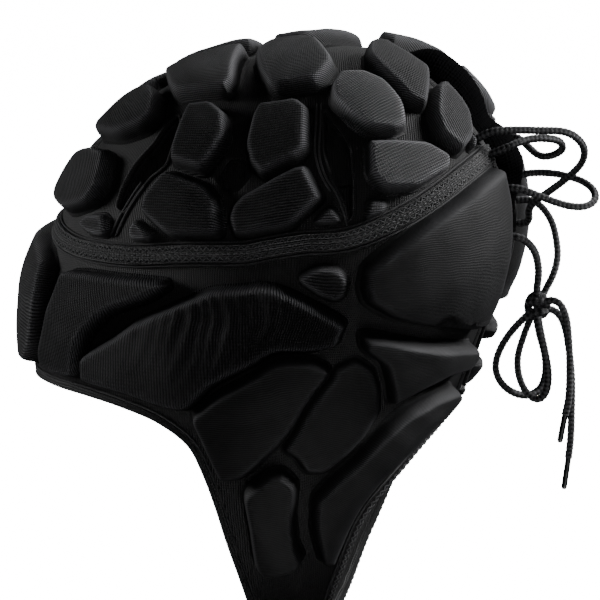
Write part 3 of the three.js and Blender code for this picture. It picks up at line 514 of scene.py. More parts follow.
def maths(tree, operation, a, b=None):
    node = tree.nodes.new("ShaderNodeMath")
    node.operation = operation
    return fill(tree, node, {0: a} if b is None else {0: a, 1: b}).outputs[0]


def tinted(colour, lightness):
    return (*[min(c * lightness, 1) for c in colour], 1)


def mix_colour(tree, share, a, b):
    node = tree.nodes.new("ShaderNodeMix")
    node.data_type = "RGBA"
    return fill(tree, node, {"Factor": share, 6: a, 7: b}).outputs[2]


def knit(name, colour, ribs, courses, depth, turn=0.0, roughness=0.58, sheen=0.03, light=2.0, mesh_holes=0.0,
         specular=0.35):
    """Ribbed knit: ribs and courses are its pitches in millimetres, turn the direction of the ribs. Its colour carries
    painted shade in the grooves, painted highlight on the ribs and a painted sheen up to light times the colour.
    """
    material, tree, shader = nodes_of(name, colour, roughness, sheen, specular)

    def times(a, b):
        return maths(tree, "MULTIPLY", a, b)

    def plus(a, b):
        return maths(tree, "ADD", a, b)

    def cloud(scale, detail, roughness=0.5):
        return add_node(tree, "TexNoise", Vector=mapped, Scale=scale, Detail=detail, Roughness=roughness).outputs["Fac"]

    weave = tree.nodes.new("ShaderNodeUVMap")
    weave.uv_map = "weave"
    mapped = add_node(tree, "Mapping", Vector=weave.outputs[0], Rotation=(0, 0, math.radians(turn))).outputs[0]
    place = add_node(tree, "SeparateXYZ", Vector=mapped).outputs
    across = plus(place["Y"], times(cloud(0.12, 1), 1.1))
    rib = maths(tree, "SINE", times(across, 2 * math.pi / ribs))
    along = plus(place["X"], times(rib, 0.14))
    course = maths(tree, "SINE", times(along, 2 * math.pi / courses))
    grain = cloud(1.7, 5, 0.75)
    height = plus(plus(rib, times(course, COURSE_RELIEF)), times(grain, GRAIN_RELIEF))
    if mesh_holes:
        holes = add_node(tree, "TexVoronoi", Scale=1 / mesh_holes, Randomness=0.25, Vector=mapped)
        hole = maths(tree, "SMOOTH_MIN", times(holes.outputs["Distance"], 2.6), 1.0)
        height = plus(height, times(hole, HOLE_RELIEF))
    bump = add_node(tree, "Bump", Strength=0.75, Distance=depth * MM, Height=height)
    # Painted shade and highlight: the colour follows the relief, darker in the grooves and mesh holes, lighter on the
    # ribs.
    base = mix_colour(tree, plus(times(height, 0.27), 0.12), tinted(colour, GROOVE_SHADE), tinted(colour, RIDGE_HIGHLIGHT))
    wear = tree.nodes.new("ShaderNodeAttribute")
    wear.attribute_name = "wear"
    # Painted highlight: the colour is lightened towards light times itself where the painted sheen is high, mottled by
    # noise and stronger on the ribs.
    sheen_share = times(times(wear.outputs["Fac"], plus(cloud(0.045, 6, 0.6), 0.35)), plus(times(rib, 0.45), 0.55))
    fill(tree, shader, {"Normal": bump.outputs[0], "Base Color": mix_colour(tree, sheen_share, base, tinted(colour, light))})
    return material


PAD_COLOUR = (0.0075, 0.0075, 0.0080)
# how the knit lies over the foam, with painted light: lightness (painted light and shade, a pad drawn lighter or darker
# for how light falls on it), relief, gloss, pitch of the ribs, lightness of the painted highlight on the shoulders
KNIT_AND_LIGHT = {
    "slack_in_shade": (0.7, 0.28, 0.20, 1.1, 36),
    "even": (1.1, 0.24, 0.32, 1.1, 26),
    "fine": (1.1, 0.06, 0.30, 0.62, 12),
    "firm_lit": (2.0, 0.26, 0.38, 1.1, 20),
    "tight_lit": (3.0, 0.26, 0.62, 1.1, 14),
}
pad_fabrics = {}


def pad_fabric(turn, stretch="even"):
    key = turn, stretch
    if key not in pad_fabrics:
        lightness, depth, gloss, ribs, shoulder_highlight = KNIT_AND_LIGHT[stretch]
        colour = tuple(c * lightness for c in PAD_COLOUR)
        pad_fabrics[key] = knit(f"pad_knit_{stretch}_{turn % 360}", colour, ribs=ribs, courses=0.9 * ribs,
                                turn=turn, depth=depth, specular=gloss, light=shoulder_highlight)
    return pad_fabrics[key]


web_fabric = knit("web_knit", (0.0115, 0.0115, 0.0120), ribs=1.0, courses=0.9, turn=90, depth=0.12, light=1.9,
                  specular=0.42)
tape_fabric = knit("tape_knit", (0.026, 0.026, 0.0270), ribs=1.0, courses=1.4, depth=0.2, light=3.0, specular=0.6)
binding_fabric = knit("binding_knit", (0.011, 0.011, 0.0116), ribs=0.9, courses=1.3, depth=0.14, light=3.4,
                      specular=0.45)
tongue_fabric = knit("tongue_mesh", (0.0018, 0.0018, 0.0020), ribs=1.1, courses=1.1, depth=0.3, sheen=0.0,
                     roughness=0.95, specular=0.02, mesh_holes=1.7)
# The lace's painted highlight lightens its braid towards sixty times its colour.
lace_fabric = knit("lace_braid", (0.006, 0.006, 0.0063), ribs=0.5, courses=0.6, turn=35, depth=0.08, light=60.0,
                   specular=0.25)
piping_fabric = knit("piping_knit", (0.055, 0.055, 0.0570), ribs=0.6, courses=0.9, depth=0.08, light=3.0)
thread = knit("thread", (0.15, 0.15, 0.155), ribs=0.3, courses=0.3, depth=0.05)


def plastic(name, colour, roughness):
    material, tree, shader = nodes_of(name, colour, roughness, 0.0, 0.5)
    grain = add_node(tree, "TexNoise", Scale=900, Detail=4).outputs["Fac"]
    bump = add_node(tree, "Bump", Strength=0.25, Distance=0.05 * MM, Height=grain)
    base = mix_colour(tree, grain, tinted(colour, 0.8), tinted(colour, 1.3))
    fill(tree, shader, {"Normal": bump.outputs[0], "Base Color": base})
    return material


aglet_plastic = plastic("aglet_plastic", (0.012, 0.012, 0.013), 0.32)

# Camera: the photo looks at the left side from 101 degrees round and 12 degrees up
AZIMUTH, ELEVATION = math.radians(101.0), math.radians(12.0)
TO_CAMERA = np.array([math.sin(AZIMUTH) * math.cos(ELEVATION), -math.cos(AZIMUTH) * math.cos(ELEVATION),
                      math.sin(ELEVATION)])
RIGHT = np.array([math.cos(AZIMUTH), math.sin(AZIMUTH), 0.0])
UP = np.cross(TO_CAMERA, RIGHT)
TARGET = np.array([0, 0, CENTRE_Z]) + 6.6 * RIGHT - 4.4 * UP
FAR = 1500.0
FRAME_WIDTH = 264.0
SENSOR = 36.0


def aimed(thing, place):
    """Stand a camera or lamp at a place and turn it to the target."""
    thing.location = Vector(place * MM)
    thing.rotation_mode = "QUATERNION"
    thing.rotation_quaternion = Vector(TARGET - place).to_track_quat("-Z", "Y")


lens = bpy.data.cameras.new("camera")
lens.sensor_width = SENSOR
lens.lens = SENSOR * FAR / FRAME_WIDTH
lens.clip_start, lens.clip_end = 0.05, 30
camera = placed("camera", lens)
aimed(camera, TARGET + FAR * TO_CAMERA)
bpy.context.scene.camera = camera


# Lace

def from_temple(point):
    return np.array([point[0], point[1], point[2] + CENTRE_Z])


KNOT_PLACE = from_temple(KNOT)
LACE_IN_KNOT = 0.45
LACE_CORE = 0.95                # the middle of the braid's relief, as a share of the radius
BRAID, BRAID_SIDES, BRAID_STEP = 0.13, 16, 0.42
ROUTE_STEPS = 40
SOFTENING = 60                  # rounds of evening out a route, so that no bend is a kink


def eyelet_points(name, sign):
    place = np.array(EYELETS[name], float)
    return [lifted(place, lift) * [sign, 1, 1] for lift in (0.0, 2 * LACE)]


def into_knot(point):
    return [point + (KNOT_PLACE - point) * LACE_IN_KNOT]


def lace_piece(name, begin, end, points, tip):
    middle = [from_temple(p) for p in points]
    start = eyelet_points(*begin) if begin else into_knot(middle[0])
    stop = [] if tip else eyelet_points(*end)[::-1] if end else into_knot(middle[-1])
    rough = catmull([*start, *middle, *stop], ROUTE_STEPS)
    path = catmull(rough, int(length_of(rough) / BRAID_STEP))
    for _ in range(SOFTENING):
        path[1:-1] = path[1:-1] / 2 + (path[:-2] + path[2:]) / 4
    path = even(path, len(path))
    shape = tube(path, LACE / 2 * LACE_CORE, sides=BRAID_SIDES, braid=BRAID)
    piece = make(f"cord_{name.removeprefix('lace_')}", shape, lace_fabric)
    extras = [knot()] if name == "lace_strand_1" else []
    if tip:
        hold = middle[-1] + (middle[-2] - middle[-1]) * 0.25
        stretch = even(catmull([hold, middle[-1], from_temple(tip)], 40), 60)
        points, faces, _, _ = tube(stretch, AGLET / 2, sides=14, taper=1.2)
        extras.append(make(name.replace("lace_end", "aglet"), (points, faces, None, None), aglet_plastic))
    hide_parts(name)


def knot():
    """Tight knot: two wraps round the strands and two crossing turns."""
    radius = LACE / 2
    w, d, h = (half - radius for half in KNOT_HALF)
    turn = 2 * np.pi * np.linspace(0, 1, 160, endpoint=False)
    sin, cos = np.sin(turn), np.cos(turn)
    paths = [
        (w * cos, d * sin, -2.6 + 0.7 * np.sin(turn + 0.6)),
        (w * 1.15 * cos, d * 1.2 * sin, 1.4 + 1.3 * cos),
        (1.4 * np.sin(2 * turn), d * 1.25 * sin, h * cos),
        (w * 0.9 * sin, 1.6 * cos + 1.2, h * 0.95 * np.sin(turn + 0.7)),
    ]
    shape = merged([tube(np.stack(path, -1) + KNOT_PLACE, radius, sides=BRAID_SIDES, braid=BRAID, closed=True)
                    for path in paths])
    piece = make("cord_knot_tied", shape, lace_fabric)
    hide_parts("lace_knot")
    return piece


for run in LACE_RUNS:
    lace_piece(*run)


# The web: dense triangles on the map, lifted to both faces

SPACING = 1.35                  # degrees between the points of the web
ROW = 0.866                     # height of a row of even triangles
MAP_EDGE = 92
OPENING_TOP = 114.0
WELD = 0.02
DEGREE = [1.75, 1.8]            # millimetres of weave for a degree back and a degree up


def arc(first, last, count):
    return polar(np.linspace(first, last, count), np.full(count, MIDLINE))


def to_circle(point):
    point = np.asarray(point, float)
    return point / np.hypot(*point) * MIDLINE


def angle_of(point):
    return math.degrees(math.atan2(point[1], -point[0]))


def opening_side(angle):
    return np.interp(angle, [OPENING_TOP, *[a for a, _ in OPENING]], [MIDLINE, *[s for _, s in OPENING]])


tape_map = catmull([to_circle(TAPE_LINE[0]), *TAPE_LINE[1:]], 170)
face_map = catmull([to_circle(FACE_LINE[0]), *FACE_LINE[1:-1], to_circle(FACE_LINE[-1])], 190)
neck_map = catmull([*NECK_LINE[:-1], to_circle(NECK_LINE[-1])], 130)
opening_map = catmull([polar(OPENING_TOP, MIDLINE), *[polar(a, s) for a, s in OPENING]], 110)
opening_angles = np.degrees(np.arctan2(opening_map[:, 1], -opening_map[:, 0])) % 360
tape_end_angle = angle_of(TAPE_LINE[-1]) % 360
neck_start_angle = angle_of(NECK_LINE[0]) % 360
upper_opening = opening_map[opening_angles < tape_end_angle - 0.4]
lower_opening = opening_map[(opening_angles > tape_end_angle + 0.4) & (opening_angles < neck_start_angle - 0.4)]
brow_angle = angle_of(TAPE_LINE[0])
crown_outline = np.concatenate([tape_map, upper_opening[::-1], arc(OPENING_TOP - 1, brow_angle + 0.8, 74)])
strap_front = angle_of(FACE_LINE[-1]) % 360
strap_back = angle_of(NECK_LINE[-1]) % 360
side_outline = np.concatenate([
    tape_map[::-1], arc(brow_angle - 1, angle_of(FACE_LINE[0]) + 1, 22), face_map,
    arc(strap_front - 1, strap_back + 1, 12), neck_map[::-1], lower_opening[::-1]])
vent_outlines = [rounded(corners, 0.5, 1.6) for corners in VENTS]


def triangle_grid(low, high, step):
    """Places for even triangles between two corners of the map."""
    columns, rows = np.arange(low[0], high[0], step), np.arange(low[1], high[1], step * ROW)
    return np.array([(a + (step / 2 if k % 2 else 0), b) for k, b in enumerate(rows) for a in columns])


def triangulated(points, edges, keep):
    """Triangles of the map between points, with some edges given; keep tells which triangles count."""
    verts, _, faces, _, _, _ = delaunay_2d_cdt([Vector(p) for p in points], edges, [], 0, 1e-6)
    verts = np.array([tuple(v) for v in verts])
    faces = np.array([f for f in faces if len(f) == 3])
    faces = faces[keep(verts[faces].mean(1))]
    a, b, c = (verts[faces[:, k]] for k in range(3))
    turned = np.cross(b - a, c - a) < 0
    faces[turned] = faces[turned][:, ::-1]
    return verts, faces


def slab(faces, count, open_rim=()):
    """Faces of a sheet: its top, the same turned round count points on, and sides but for an open rim."""
    edges = {(f[k], f[(k + 1) % len(f)]): True for f in faces for k in range(len(f))}
    rim = [(i, j) for i, j in edges if (j, i) not in edges and not (i in open_rim and j in open_rim)]
    return [*map(tuple, faces), *[tuple(i + count for i in reversed(f)) for f in faces],
            *[(j, i, i + count, j + count) for i, j in rim]]


def noise(points, scale, seed):
    """Smooth waviness between about -1 and 1, the same on each run."""
    rng = np.random.default_rng(seed)
    total = np.zeros(len(points))
    for _ in range(7):
        direction = rng.normal(size=3)
        direction /= np.linalg.norm(direction)
        total += np.sin(points @ direction * 2 * np.pi / (scale * rng.uniform(0.7, 1.6)) + rng.uniform(0, 6.28))
    return total / 3


def web_shell(outline, holes, seed):
    def keep(points):
        good = inside(points, outline)
        for hole in holes:
            good &= ~inside(points, hole)
        return good
    rings = [outline, *holes]
    everything = np.concatenate(rings)
    grid = triangle_grid((-MAP_EDGE, -MAP_EDGE), (MAP_EDGE, MAP_EDGE), SPACING)
    grid = grid[((grid > everything.min(0)) & (grid < everything.max(0))).all(1)]
    grid = grid[keep(grid)]
    edges = []
    for ring in rings:
        grid = grid[distance(np.pad(grid, ((0, 0), (0, 1))), np.pad(ring, ((0, 0), (0, 1))), True) > 0.45 * SPACING]
        edges.extend(ring_edges(len(edges), len(ring)))
    verts, faces = triangulated(np.concatenate([everything, grid]), edges, keep)
    used, places = np.unique(faces, return_inverse=True)
    verts, faces = verts[used], places.reshape(faces.shape)
    on_middle = np.hypot(verts[:, 0], verts[:, 1]) > MIDLINE - 0.01
    outer = lifted(verts, 0.25 * noise(web_point(verts), 26, seed))
    inner = lifted(verts, np.full(len(verts), -WEB))
    outer[on_middle, 0] = 0
    inner[on_middle, 0] = 0
    all_faces = slab(faces, len(verts), set(np.flatnonzero(on_middle)))
    return np.concatenate([outer, inner]), all_faces, np.tile(verts * DEGREE, (2, 1)), np.full(2 * len(verts), 0.15)


def web_piece(name, shape, *nodes):
    piece = make(name, merged([shape, mirrored(shape)]), web_fabric)
    with_bmesh(piece, lambda mesh: bmesh.ops.remove_doubles(mesh, verts=mesh.verts, dist=WELD * MM))
    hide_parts(*nodes)


web_piece("web_crown", web_shell(crown_outline, vent_outlines, 3), "crown_shell")
web_piece("web_lower", web_shell(side_outline, [], 5), "side_panel_left", "side_panel_right", "chin_strap")


# Tracks: places, normals and sideways directions along a line

def stations(places):
    """Track along a map line on the left side, upright where it meets the middle plane."""
    space = web_point(places)
    normal = web_normal(places)
    across = unit(np.cross(normal, np.gradient(space, axis=0)))
    for k in (0, -1):
        if np.hypot(*places[k]) > MIDLINE - 0.1:
            space[k, 0] = 0
            normal[k, 0] = 0
            normal[k] /= np.linalg.norm(normal[k])
            straight = np.cross([1, 0, 0], normal[k])
            across[k] = straight if straight @ across[k] > 0 else -straight
    return space, normal, across


def over_middle(track, closed):
    """The track, which ends on the middle plane, followed by its mirror image."""
    back = slice(1, -1) if closed else slice(1, None)
    return [np.concatenate([t, t[::-1][back] * [-1, 1, 1]]) for t in track]


def resampled(track, step):
    run = run_of(track[0])
    at = np.arange(step / 2, run[-1], step)
    return [read_at(run, at, values) for values in track]


def strip(track, section, closed):
    """Solid along a track; section is a closed list of (sideways, height)."""
    space, normal, across = track
    section = np.asarray(section, float)
    points = (space[:, None] + across[:, None] * section[None, :, 0:1] + normal[:, None] * section[None, :, 1:2])
    uv = np.stack(np.broadcast_arrays(run_of(space)[:, None], run_of(section)[None]), -1).reshape(-1, 2)
    return points.reshape(-1, 3), ring_faces(len(space), len(section), closed), uv, np.full(len(uv), 0.3)


def rounded_section(half_width, low, high, corner):
    """Rounded rectangle as (sideways, height), clockwise seen along the track."""
    points = []
    wide = half_width - corner
    for cx, cy, start in ((wide, high - corner, 0), (-wide, high - corner, 90), (-wide, low + corner, 180),
                          (wide, low + corner, 270)):
        for t in np.radians(np.linspace(start, start + 90, 5)):
            points.append((cx + corner * math.cos(t), cy + corner * math.sin(t)))
    return points[::-1]


def strip_piece(name, shape, material, node):
    piece = make(name, shape, material)
    outward(piece)
    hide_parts(node)


tape_track = over_middle([t[::-1] for t in stations(tape_map)], False)
face_track = over_middle(stations(face_map), True)
neck_track = over_middle(stations(neck_map), False)

half_tape, tape_low, tape_high = TAPE_WIDTH / 2, 0.1, 1.75
half_section = [(half_tape, tape_low), (half_tape, 1.1), (half_tape - 0.35, 1.6), (half_tape - 1.0, tape_high),
                (half_tape - 1.5, 1.35), (half_tape - 2.1, 1.6), (0.9, tape_high)]
tape_section = [*half_section, (0, 1.45), *[(-a, b) for a, b in reversed(half_section)]]
strip_piece("tape", strip(tape_track, tape_section, False), tape_fabric, "seam_tape")
binding_section = rounded_section(BINDING_WIDTH / 2, -WEB - BINDING_PROUD, BINDING_PROUD, 1.5)
strip_piece("binding_face", strip(face_track, binding_section, True), binding_fabric, "face_binding")
strip_piece("binding_neck", strip(neck_track, binding_section, False), binding_fabric, "neck_binding")


# Stitches and piping

# Painted sheen of the stitches and trims: an even lightening all along them.
TRIM_SHEEN = 0.5
DIP = 1.4                       # how far a stitch's ends go into the cloth, in radii
TAPE_ROW = 2.15                 # from the middle of the tape to its two rows of zigzag


def zigzag(track, centre, swing, lift, radius):
    space, normal, across = resampled(track, 1.5)
    sign = np.where(np.arange(len(space)) % 2, 1, -1)
    path = space + across * (centre + swing * sign)[:, None] + normal * lift
    halfway = path[:-1] + np.diff(path, axis=0) * 0.5
    return tube([*np.stack([path[:-1], halfway], 1).reshape(-1, 3), path[-1]], radius, 5)


def running(track, centre, step, share, lift, radius=0.3):
    space, normal, across = resampled(track, step)
    stitches = []
    for p, n, a, d in zip(space, normal, across, np.gradient(space, axis=0)):
        middle = p + a * centre + n * lift
        dip = n * radius * DIP
        ends = middle - d * share / 2 - dip, middle + d * share / 2 - dip
        stitches.append(tube([ends[0], middle - d * share / 4, middle, middle + d * share / 4, ends[1]], radius, 5))
    return merged(stitches)


def piping(points):
    space, normal, _ = stations(catmull(points, 60))
    return tube(space + normal * 0.35, 0.5, taper=3)


def trim(name, shapes, material, mirror_too=True):
    if mirror_too:
        shapes = [*shapes, *map(mirrored, shapes)]
    points, faces, uv, _ = merged(shapes)
    return make(name, (points, faces, uv, np.full(len(points), TRIM_SHEEN)), material)


trim("stitches_tape", [zigzag(tape_track, TAPE_ROW, 0.75, 1.68, 0.24), zigzag(tape_track, -TAPE_ROW, 0.75, 1.68, 0.24),
                       running(tape_track, 0.0, 2.6, 0.62, 1.5)], thread, False)
trim("stitches_face", [running(face_track, -1.0, 3.0, 0.66, BINDING_PROUD - 0.1)], thread, False)
trim("stitches_neck", [running(neck_track, 1.2, 3.0, 0.66, BINDING_PROUD - 0.15),
                       zigzag(neck_track, -0.2, 0.7, BINDING_PROUD - 0.02, 0.28)], thread, False)

PIPING = [
    [(14.6, 52.5), (14.5, 46), (14.4, 37), (15.6, 32), (17.6, 28), (19.2, 24), (20, 21.5)],
    [(13.6, 52.5), (13.5, 46), (13.5, 38), (14.7, 32.5), (16.5, 28.5)],
    [(-28, 33), (-31, 28.5), (-33.5, 24), (-35.5, 19.5)],
    [(-29.6, 33.4), (-32.5, 28.5), (-35.3, 23.8), (-37.3, 19.5)],
]
trim("piping_seams", [piping(line) for line in PIPING], piping_fabric)


def vent_rim(outline, out, lift):
    space, normal = web_point(outline), web_normal(outline)
    outwards = unit(np.cross(along_ring(space), normal))
    return tube(space + outwards * out + normal * lift, 0.8, closed=True)


trim("vent_rims", [vent_rim(v, 0.55, 0.05) for v in vent_outlines[:2]]
     + [vent_rim(v, 0.4, -WEB + 0.1) for v in vent_outlines], binding_fabric)

tape_space, tape_normal, tape_across = stations(tape_map)
tape_edges = [tape_space + tape_across * side * (half_tape + 0.75) + tape_normal * 0.35 for side in (-1, 1)]
trim("piping_tape", [tube(line[2:-2], 0.45) for line in tape_edges], piping_fabric)


def edge_piping(track, panel):
    """Piping beside a binding, on the side where the panel lies."""
    space, normal, across = track
    side = (BINDING_WIDTH / 2 + 0.5) * float(np.sign((across[60] * panel).sum()))
    return tube(space + across * side + normal * 0.6, 0.42)


trim("piping_edges", [edge_piping(stations(face_map), UP), edge_piping(stations(neck_map), -RIGHT)],
     piping_fabric)
opening_space, opening_normal, opening_across = stations(np.concatenate([upper_opening[2:], lower_opening]))
away = opening_across * np.sign(opening_across[:, :1])
opening_strip = strip((opening_space + away * 1.3, opening_normal, opening_across),
                      rounded_section(1.9, -WEB - 0.5, 0.8, 1.0), False)
outward(trim("piping_opening", [opening_strip], binding_fabric))


def eyelet(place):
    place = np.array(place, float)
    normal = web_normal(place)
    first = unit(np.cross(normal, [0, 0, 1]))
    turn = np.linspace(0, 2 * np.pi, 28, endpoint=False)[:, None]
    ring = lifted(place, 0.25) + 2.3 * (first * np.cos(turn) + np.cross(normal, first) * np.sin(turn))
    return tube(ring, 0.55, closed=True)


trim("eyelets", [eyelet(place) for place in EYELETS.values()], binding_fabric)


# Pads: foot, wall, shoulder and crowned top over the map

# places along each line that a pad stays clear of, and the clear web beside it
LINE_WALLS = [
    (web_point(tape_map), half_tape + 0.9),
    (web_point(face_map), BINDING_WIDTH / 2 + 2.3),
    (web_point(neck_map), BINDING_WIDTH / 2 + 1.9),
]
OPENING_ROOM = 3.4


def nearest_of(space, wall):
    """Vector from the nearest place of a wall to each point, its length, and that place's number."""
    rel = space[:, None] - wall[None]
    far = np.linalg.norm(rel, axis=-1)
    nearest, each = far.argmin(1), np.arange(len(space))
    return rel[each, nearest], far[each, nearest], nearest


def kept_clear(outline):
    """Outline pushed off the tape, the bindings and the rear opening."""
    for _ in range(3):
        for wall, room in LINE_WALLS:
            rel, gap, _ = nearest_of(web_point(outline), wall)
            push = np.clip(room - gap, 0, None)
            outline = moved(outline, rel / np.maximum(gap, 0.3)[:, None] * push[:, None])
        rel, gap, nearest = nearest_of(web_point(outline), opening_space)
        push = np.clip(OPENING_ROOM - (rel * away[nearest]).sum(1), 0, 2 * OPENING_ROOM)
        push[gap > 2 * OPENING_ROOM] = 0
        outline = moved(outline, away[nearest] * push[:, None])
    return outline


def offset(outline, inward):
    """Outline moved inwards over the surface by a distance in millimetres."""
    space, normal = web_point(outline), web_normal(outline)
    return moved(outline, unit(np.cross(normal, along_ring(space))) * inward)


# Section of a pad: distance in from its outline in millimetres and share of its height below the wall
FOOT = [(-0.35, 0.08), (-0.7, 0.04), (-1.1, 0.0), (-1.6, -0.09)]
WALL = 3.5                      # width of wall and rounded shoulder
RINGS = [0.3, 0.6, 1.0, 1.4, 1.9, 2.4, 3.0, 3.7]
OUTLINE_STEP = 1.1
PAD_DEGREE = 1.8                # millimetres to a degree of the map
UNEVEN, UNEVEN_SCALE = 0.28, 17
WALL_WEAVE = 0.8                # weave that runs down a wall, as a share of its height


def section(depth):
    """Share of a pad's height at a distance in from its outline: steep wall, round shoulder, crowned top."""
    into = np.clip(depth / WALL, 0, 1)
    shoulder = (1 - (1 - into)**2.3)**0.95
    crown = 0.07 * (1 - np.exp(-np.clip(depth - WALL, 0, None) / 10))
    return 0.10 + 0.90 * shoulder + crown


def pad_shape(outline, height, seed, fine=1.7, wrinkle=None, scale=1.0, thin=None):
    """Pad over a map outline; fine is the step of its top, scale the width of its wall."""
    outline = closed_even(kept_clear(outline), OUTLINE_STEP)
    space = web_point(outline)

    def far_in(places):
        return distance(web_point(places), space, closed=True)

    inner = []
    for inset in RINGS:
        ring = offset(outline, inset * scale)
        inner.append(ring[far_in(ring) > inset * scale * 0.93])
    grid = triangle_grid(outline.min(0), outline.max(0), fine / PAD_DEGREE)
    grid = grid[inside(grid, outline)]
    grid = grid[far_in(grid) > (RINGS[-1] + 0.75) * scale]
    size = len(outline)
    verts, faces = triangulated(np.concatenate([outline, *inner, grid]), ring_edges(0, size),
                                lambda places: inside(places, outline))
    depth = far_in(verts) / scale
    depth[:size] = 0
    share = section(depth)
    flat = np.clip(depth / WALL, 0, 1)
    top_space = web_point(verts)
    lift = share * height * (thin(verts) if thin else 1.0) + UNEVEN * flat * noise(top_space, UNEVEN_SCALE, seed)
    if wrinkle is not None:
        lift = lift + wrinkle(verts) * flat
    inward = unit((offset(outline, 1.0) - outline) * DEGREE)
    nearest = nearest_of(top_space, space)[2]
    down_wall = np.clip(1 - share, 0, 1) * height * WALL_WEAVE
    all_points, all_faces = [lifted(verts, lift)], [tuple(f) for f in faces]
    uv = [verts * DEGREE - inward[nearest] * down_wall[:, None]]
    # Painted highlight: painted sheen in a band along the rounded shoulder, about 2 mm in from the outline, and a
    # little on the crowned top.
    wear = 0.10 + 0.9 * np.exp(-((depth - 2.2) / 1.2)**2) + 0.2 * np.clip((share - 0.98) * 8, 0, 1)
    previous, count = 0, len(verts)
    for inset, part in FOOT:
        all_points.append(lifted(offset(outline, inset * scale), np.full(size, part * height)))
        all_faces.extend((previous + i, count + i, count + j, previous + j) for i, j in ring_edges(0, size))
        previous, count = count, count + size
        uv.append(outline * DEGREE - inward * (height * WALL_WEAVE - inset))
    middle = outline.mean(0)[None]
    all_points.append(lifted(middle, np.array([FOOT[-1][1] * height])))
    all_faces.extend((previous + i, count, previous + j) for i, j in ring_edges(0, size))
    uv.append(middle * DEGREE)
    return np.concatenate(all_points), all_faces, np.concatenate(uv), np.pad(wear, (0, len(FOOT) * size + 1))


def wing_wrinkles(places):
    """Curved creases that run up the wing pad."""
    a, b = places[:, 0], places[:, 1]
    lean = a + 0.25 * (b - 2)**2 / 6
    fade = np.exp(-((a + 5) / 17)**2) * np.exp(-((b - 0.5) / 8)**2)
    return -0.65 * fade * (1 + np.sin(lean * 2 * np.pi / 2.9 + 1.1 * np.sin(a * 0.7))) / 1.2


def rear_folds(places):
    """Soft folds that fan out from the front corner of the rear pad, under the tape."""
    a, b = places[:, 0] - 24, places[:, 1] - 12
    lean = np.degrees(np.arctan2(b, a))
    reach = np.hypot(a, b)
    fade = np.exp(-((lean - 36) / 6)**2) * np.clip(reach / 8, 0, 1) * np.exp(-(reach / 38)**2)
    return 0.3 * fade * np.sin(lean * 2 * np.pi / 5.5)


def thin_at_neck(places):
    """Share of a nape pad's height: it thins out towards the neck binding."""
    near = np.clip(distance(web_point(places), LINE_WALLS[2][0]) / 15, 0, 1)
    return 0.42 + 0.58 * near**2 * (3 - 2 * near)


THIN = {"nape_lower": thin_at_neck}
WRINKLES = {"wing": wing_wrinkles, "rear": rear_folds}
WIDE_WALL = {"rear": 1.55}
SPREAD = {"rear": 0.7, "rear_upper": 0.7, "rear_edge": 0.7, "rear_lower": 0.7, "top_rear": 0.7, "cheek": 0.9,
          "ear": 0.9, "nape_lower": 0.9}
# Groups of pads by knit and by painted light: the first two groups are painted lighter, as if more brightly lit, the
# third darker, as if in shade; the fourth keeps the plain lightness of the rest.
PADS_BY_KNIT_AND_LIGHT = {
    "tight_lit": ("rear_upper", "rear_lower"),
    "firm_lit": ("rear_edge",),
    "slack_in_shade": ("front_upper", "upper_front", "upper_rear", "lower_front", "lower_rear", "wing", "temple"),
    "fine": ("rear", "cheek", "ear", "jaw", "nape_upper", "nape_lower"),
}
knit_and_light_of = {name: stretch for stretch, names in PADS_BY_KNIT_AND_LIGHT.items() for name in names}

for seed, (name, height, soft, turn, corners) in enumerate(PADS):
    outline = offset(rounded(corners, soft, OUTLINE_STEP), -SPREAD.get(name, 0.2))
    shape = pad_shape(outline, height, seed, wrinkle=WRINKLES.get(name), scale=WIDE_WALL.get(name, 1.0),
                      thin=THIN.get(name))
    fabric = pad_fabric(turn, knit_and_light_of.get(name, "even"))
    for piece in both_sides(f"foam_{name}", shape, fabric):
        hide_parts(piece.name.replace("foam_", "pad_"))

left = np.array(FOREHEAD_HALF, float)
far = np.hypot(left[:, 0], left[:, 1])[:, None]
right = (left / far * (2 * MIDLINE - far))[::-1]
outline = rounded(np.concatenate([left, right]), 0.35, OUTLINE_STEP)
brow = make("foam_forehead", pad_shape(outline, SIDE_PAD, 71, fine=2.0), pad_fabric(0))
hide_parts("forehead_pad")

# The crown bumps get the knit painted lighter, as if more brightly lit.
for group, stretch, outlines in (("crown", "firm_lit", CROWN_BUMPS), ("side", "even", SIDE_BUMPS)):
    for k, corners in enumerate(outlines):
        shape = pad_shape(rounded(corners, 0.75, 0.9), BUMP, 90 + k, fine=1.2, scale=0.8)
        for piece in both_sides(f"bump_{group}_{k + 1}", shape, pad_fabric(0, stretch)):
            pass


# Tongue

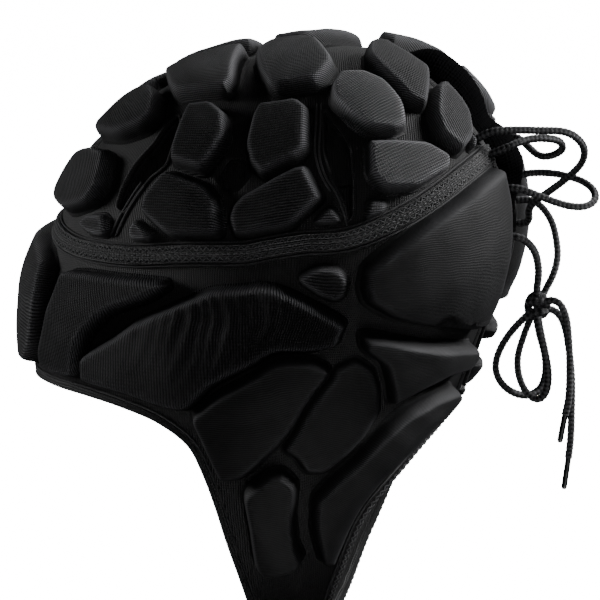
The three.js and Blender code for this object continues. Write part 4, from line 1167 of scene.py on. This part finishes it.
def tongue():
    """Bulged sheet behind the rear opening, with a flange under each panel."""
    angles = np.arange(TONGUE_ROWS[0][0], TONGUE_ROWS[-1][0] + 0.01, 0.7)
    bulge = catmull([(a, 40 * b) for a, b in TONGUE_ROWS], 600)
    share = np.interp(angles, bulge[:, 0], bulge[:, 1]) / 40
    columns = 45
    under = -WEB - GAP
    degrees = math.degrees(TONGUE_FLANGE / HALF_WIDTH)
    top, bottom, uv = [], [], []
    for angle, part in zip(angles, share):
        edge = float(opening_side(angle))
        sides = np.linspace(edge - degrees, 2 * MIDLINE - (edge - degrees), columns)
        places = polar(np.full(columns, angle), sides)
        across = np.clip(np.abs(sides - MIDLINE) / max(MIDLINE - edge - 0.6, 0.4), 0, 1)
        rise = np.clip(1 - across**2.4, 0, 1)**0.75
        top.append(lifted(places, under + (TONGUE_BULGE - under) * max(part, 0) * rise))
        bottom.append(lifted(places, np.full(columns, under - TONGUE)))
        uv.append(np.stack([sides * 1.4, np.full(columns, angle * 1.9)], -1))
    corners = [i * columns + k for i in range(len(angles) - 1) for k in range(columns - 1)]
    faces = slab([(a, a + 1, a + columns + 1, a + columns) for a in corners], len(angles) * columns)
    uv = np.concatenate([*uv, *uv])
    shape = np.concatenate([*top, *bottom]), faces, uv, np.full(len(uv), 0.1)
    piece = make("tongue_foam", shape, tongue_fabric)
    outward(piece)
    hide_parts("tongue")


tongue()


# Floor, light and background; floor and background light nothing, so their glow only shows white

REACH, SWEEP, RISE = 2600.0, 700.0, 1700.0
GLOW = 16.0
WHITE = (1, 1, 1, 1)


def floor():
    level = CENTRE_Z - CHIN_DROP - 6
    sweep = [(SWEEP * (1 - math.sin(t)) - REACH, SWEEP * (1 - math.cos(t))) for t in np.linspace(0, math.pi / 2, 24)]
    profile = [(REACH, 0), (0, 0), *sweep, (-REACH, RISE)]
    to_camera = unit(TO_CAMERA * [1, 1, 0])
    points = [to_camera * forward + RIGHT * sideways + [0, 0, level + height]
              for forward, height in profile for sideways in (-REACH, REACH)]
    faces = [(2 * i, 2 * i + 2, 2 * i + 3, 2 * i + 1) for i in range(len(profile) - 1)]
    material = bpy.data.materials.new("floor_white")
    material.use_nodes = True
    fill(material.node_tree, material.node_tree.nodes["Principled BSDF"], {
        "Base Color": (0.93, 0.93, 0.93, 1), "Roughness": 0.9, "Emission Color": WHITE, "Emission Strength": GLOW})
    thing = placed("floor", smooth_mesh("floor", points, faces, material))
    thing.visible_diffuse = False
    thing.visible_glossy = False


floor()

# name, place from the target to the right, up and towards the camera in millimetres, size in metres, power in watts
LAMPS = [
    ("key_rear", 1300, 850, 50, 0.5, 33),
    ("key_front", -1450, 380, -220, 0.5, 10),
    ("fill", 0, 0, 1700, 1.4, 2.4),
    ("fill_low", 350, -1400, 900, 1.2, 28),
    ("sky", 400, 1550, -1350, 1.0, 5.8),
]
for name, right, up, front, size, power in LAMPS:
    lamp = bpy.data.lights.new(name, "AREA")
    lamp.shape = "DISK"
    lamp.size = size
    lamp.energy = power
    aimed(placed(name, lamp), TARGET + right * RIGHT + up * UP + front * TO_CAMERA)

world = bpy.data.worlds.new("studio")
bpy.context.scene.world = world
world.use_nodes = True
fill(world.node_tree, world.node_tree.nodes["Background"], {"Color": WHITE, "Strength": GLOW})
world.cycles_visibility.diffuse = False
world.cycles_visibility.glossy = False
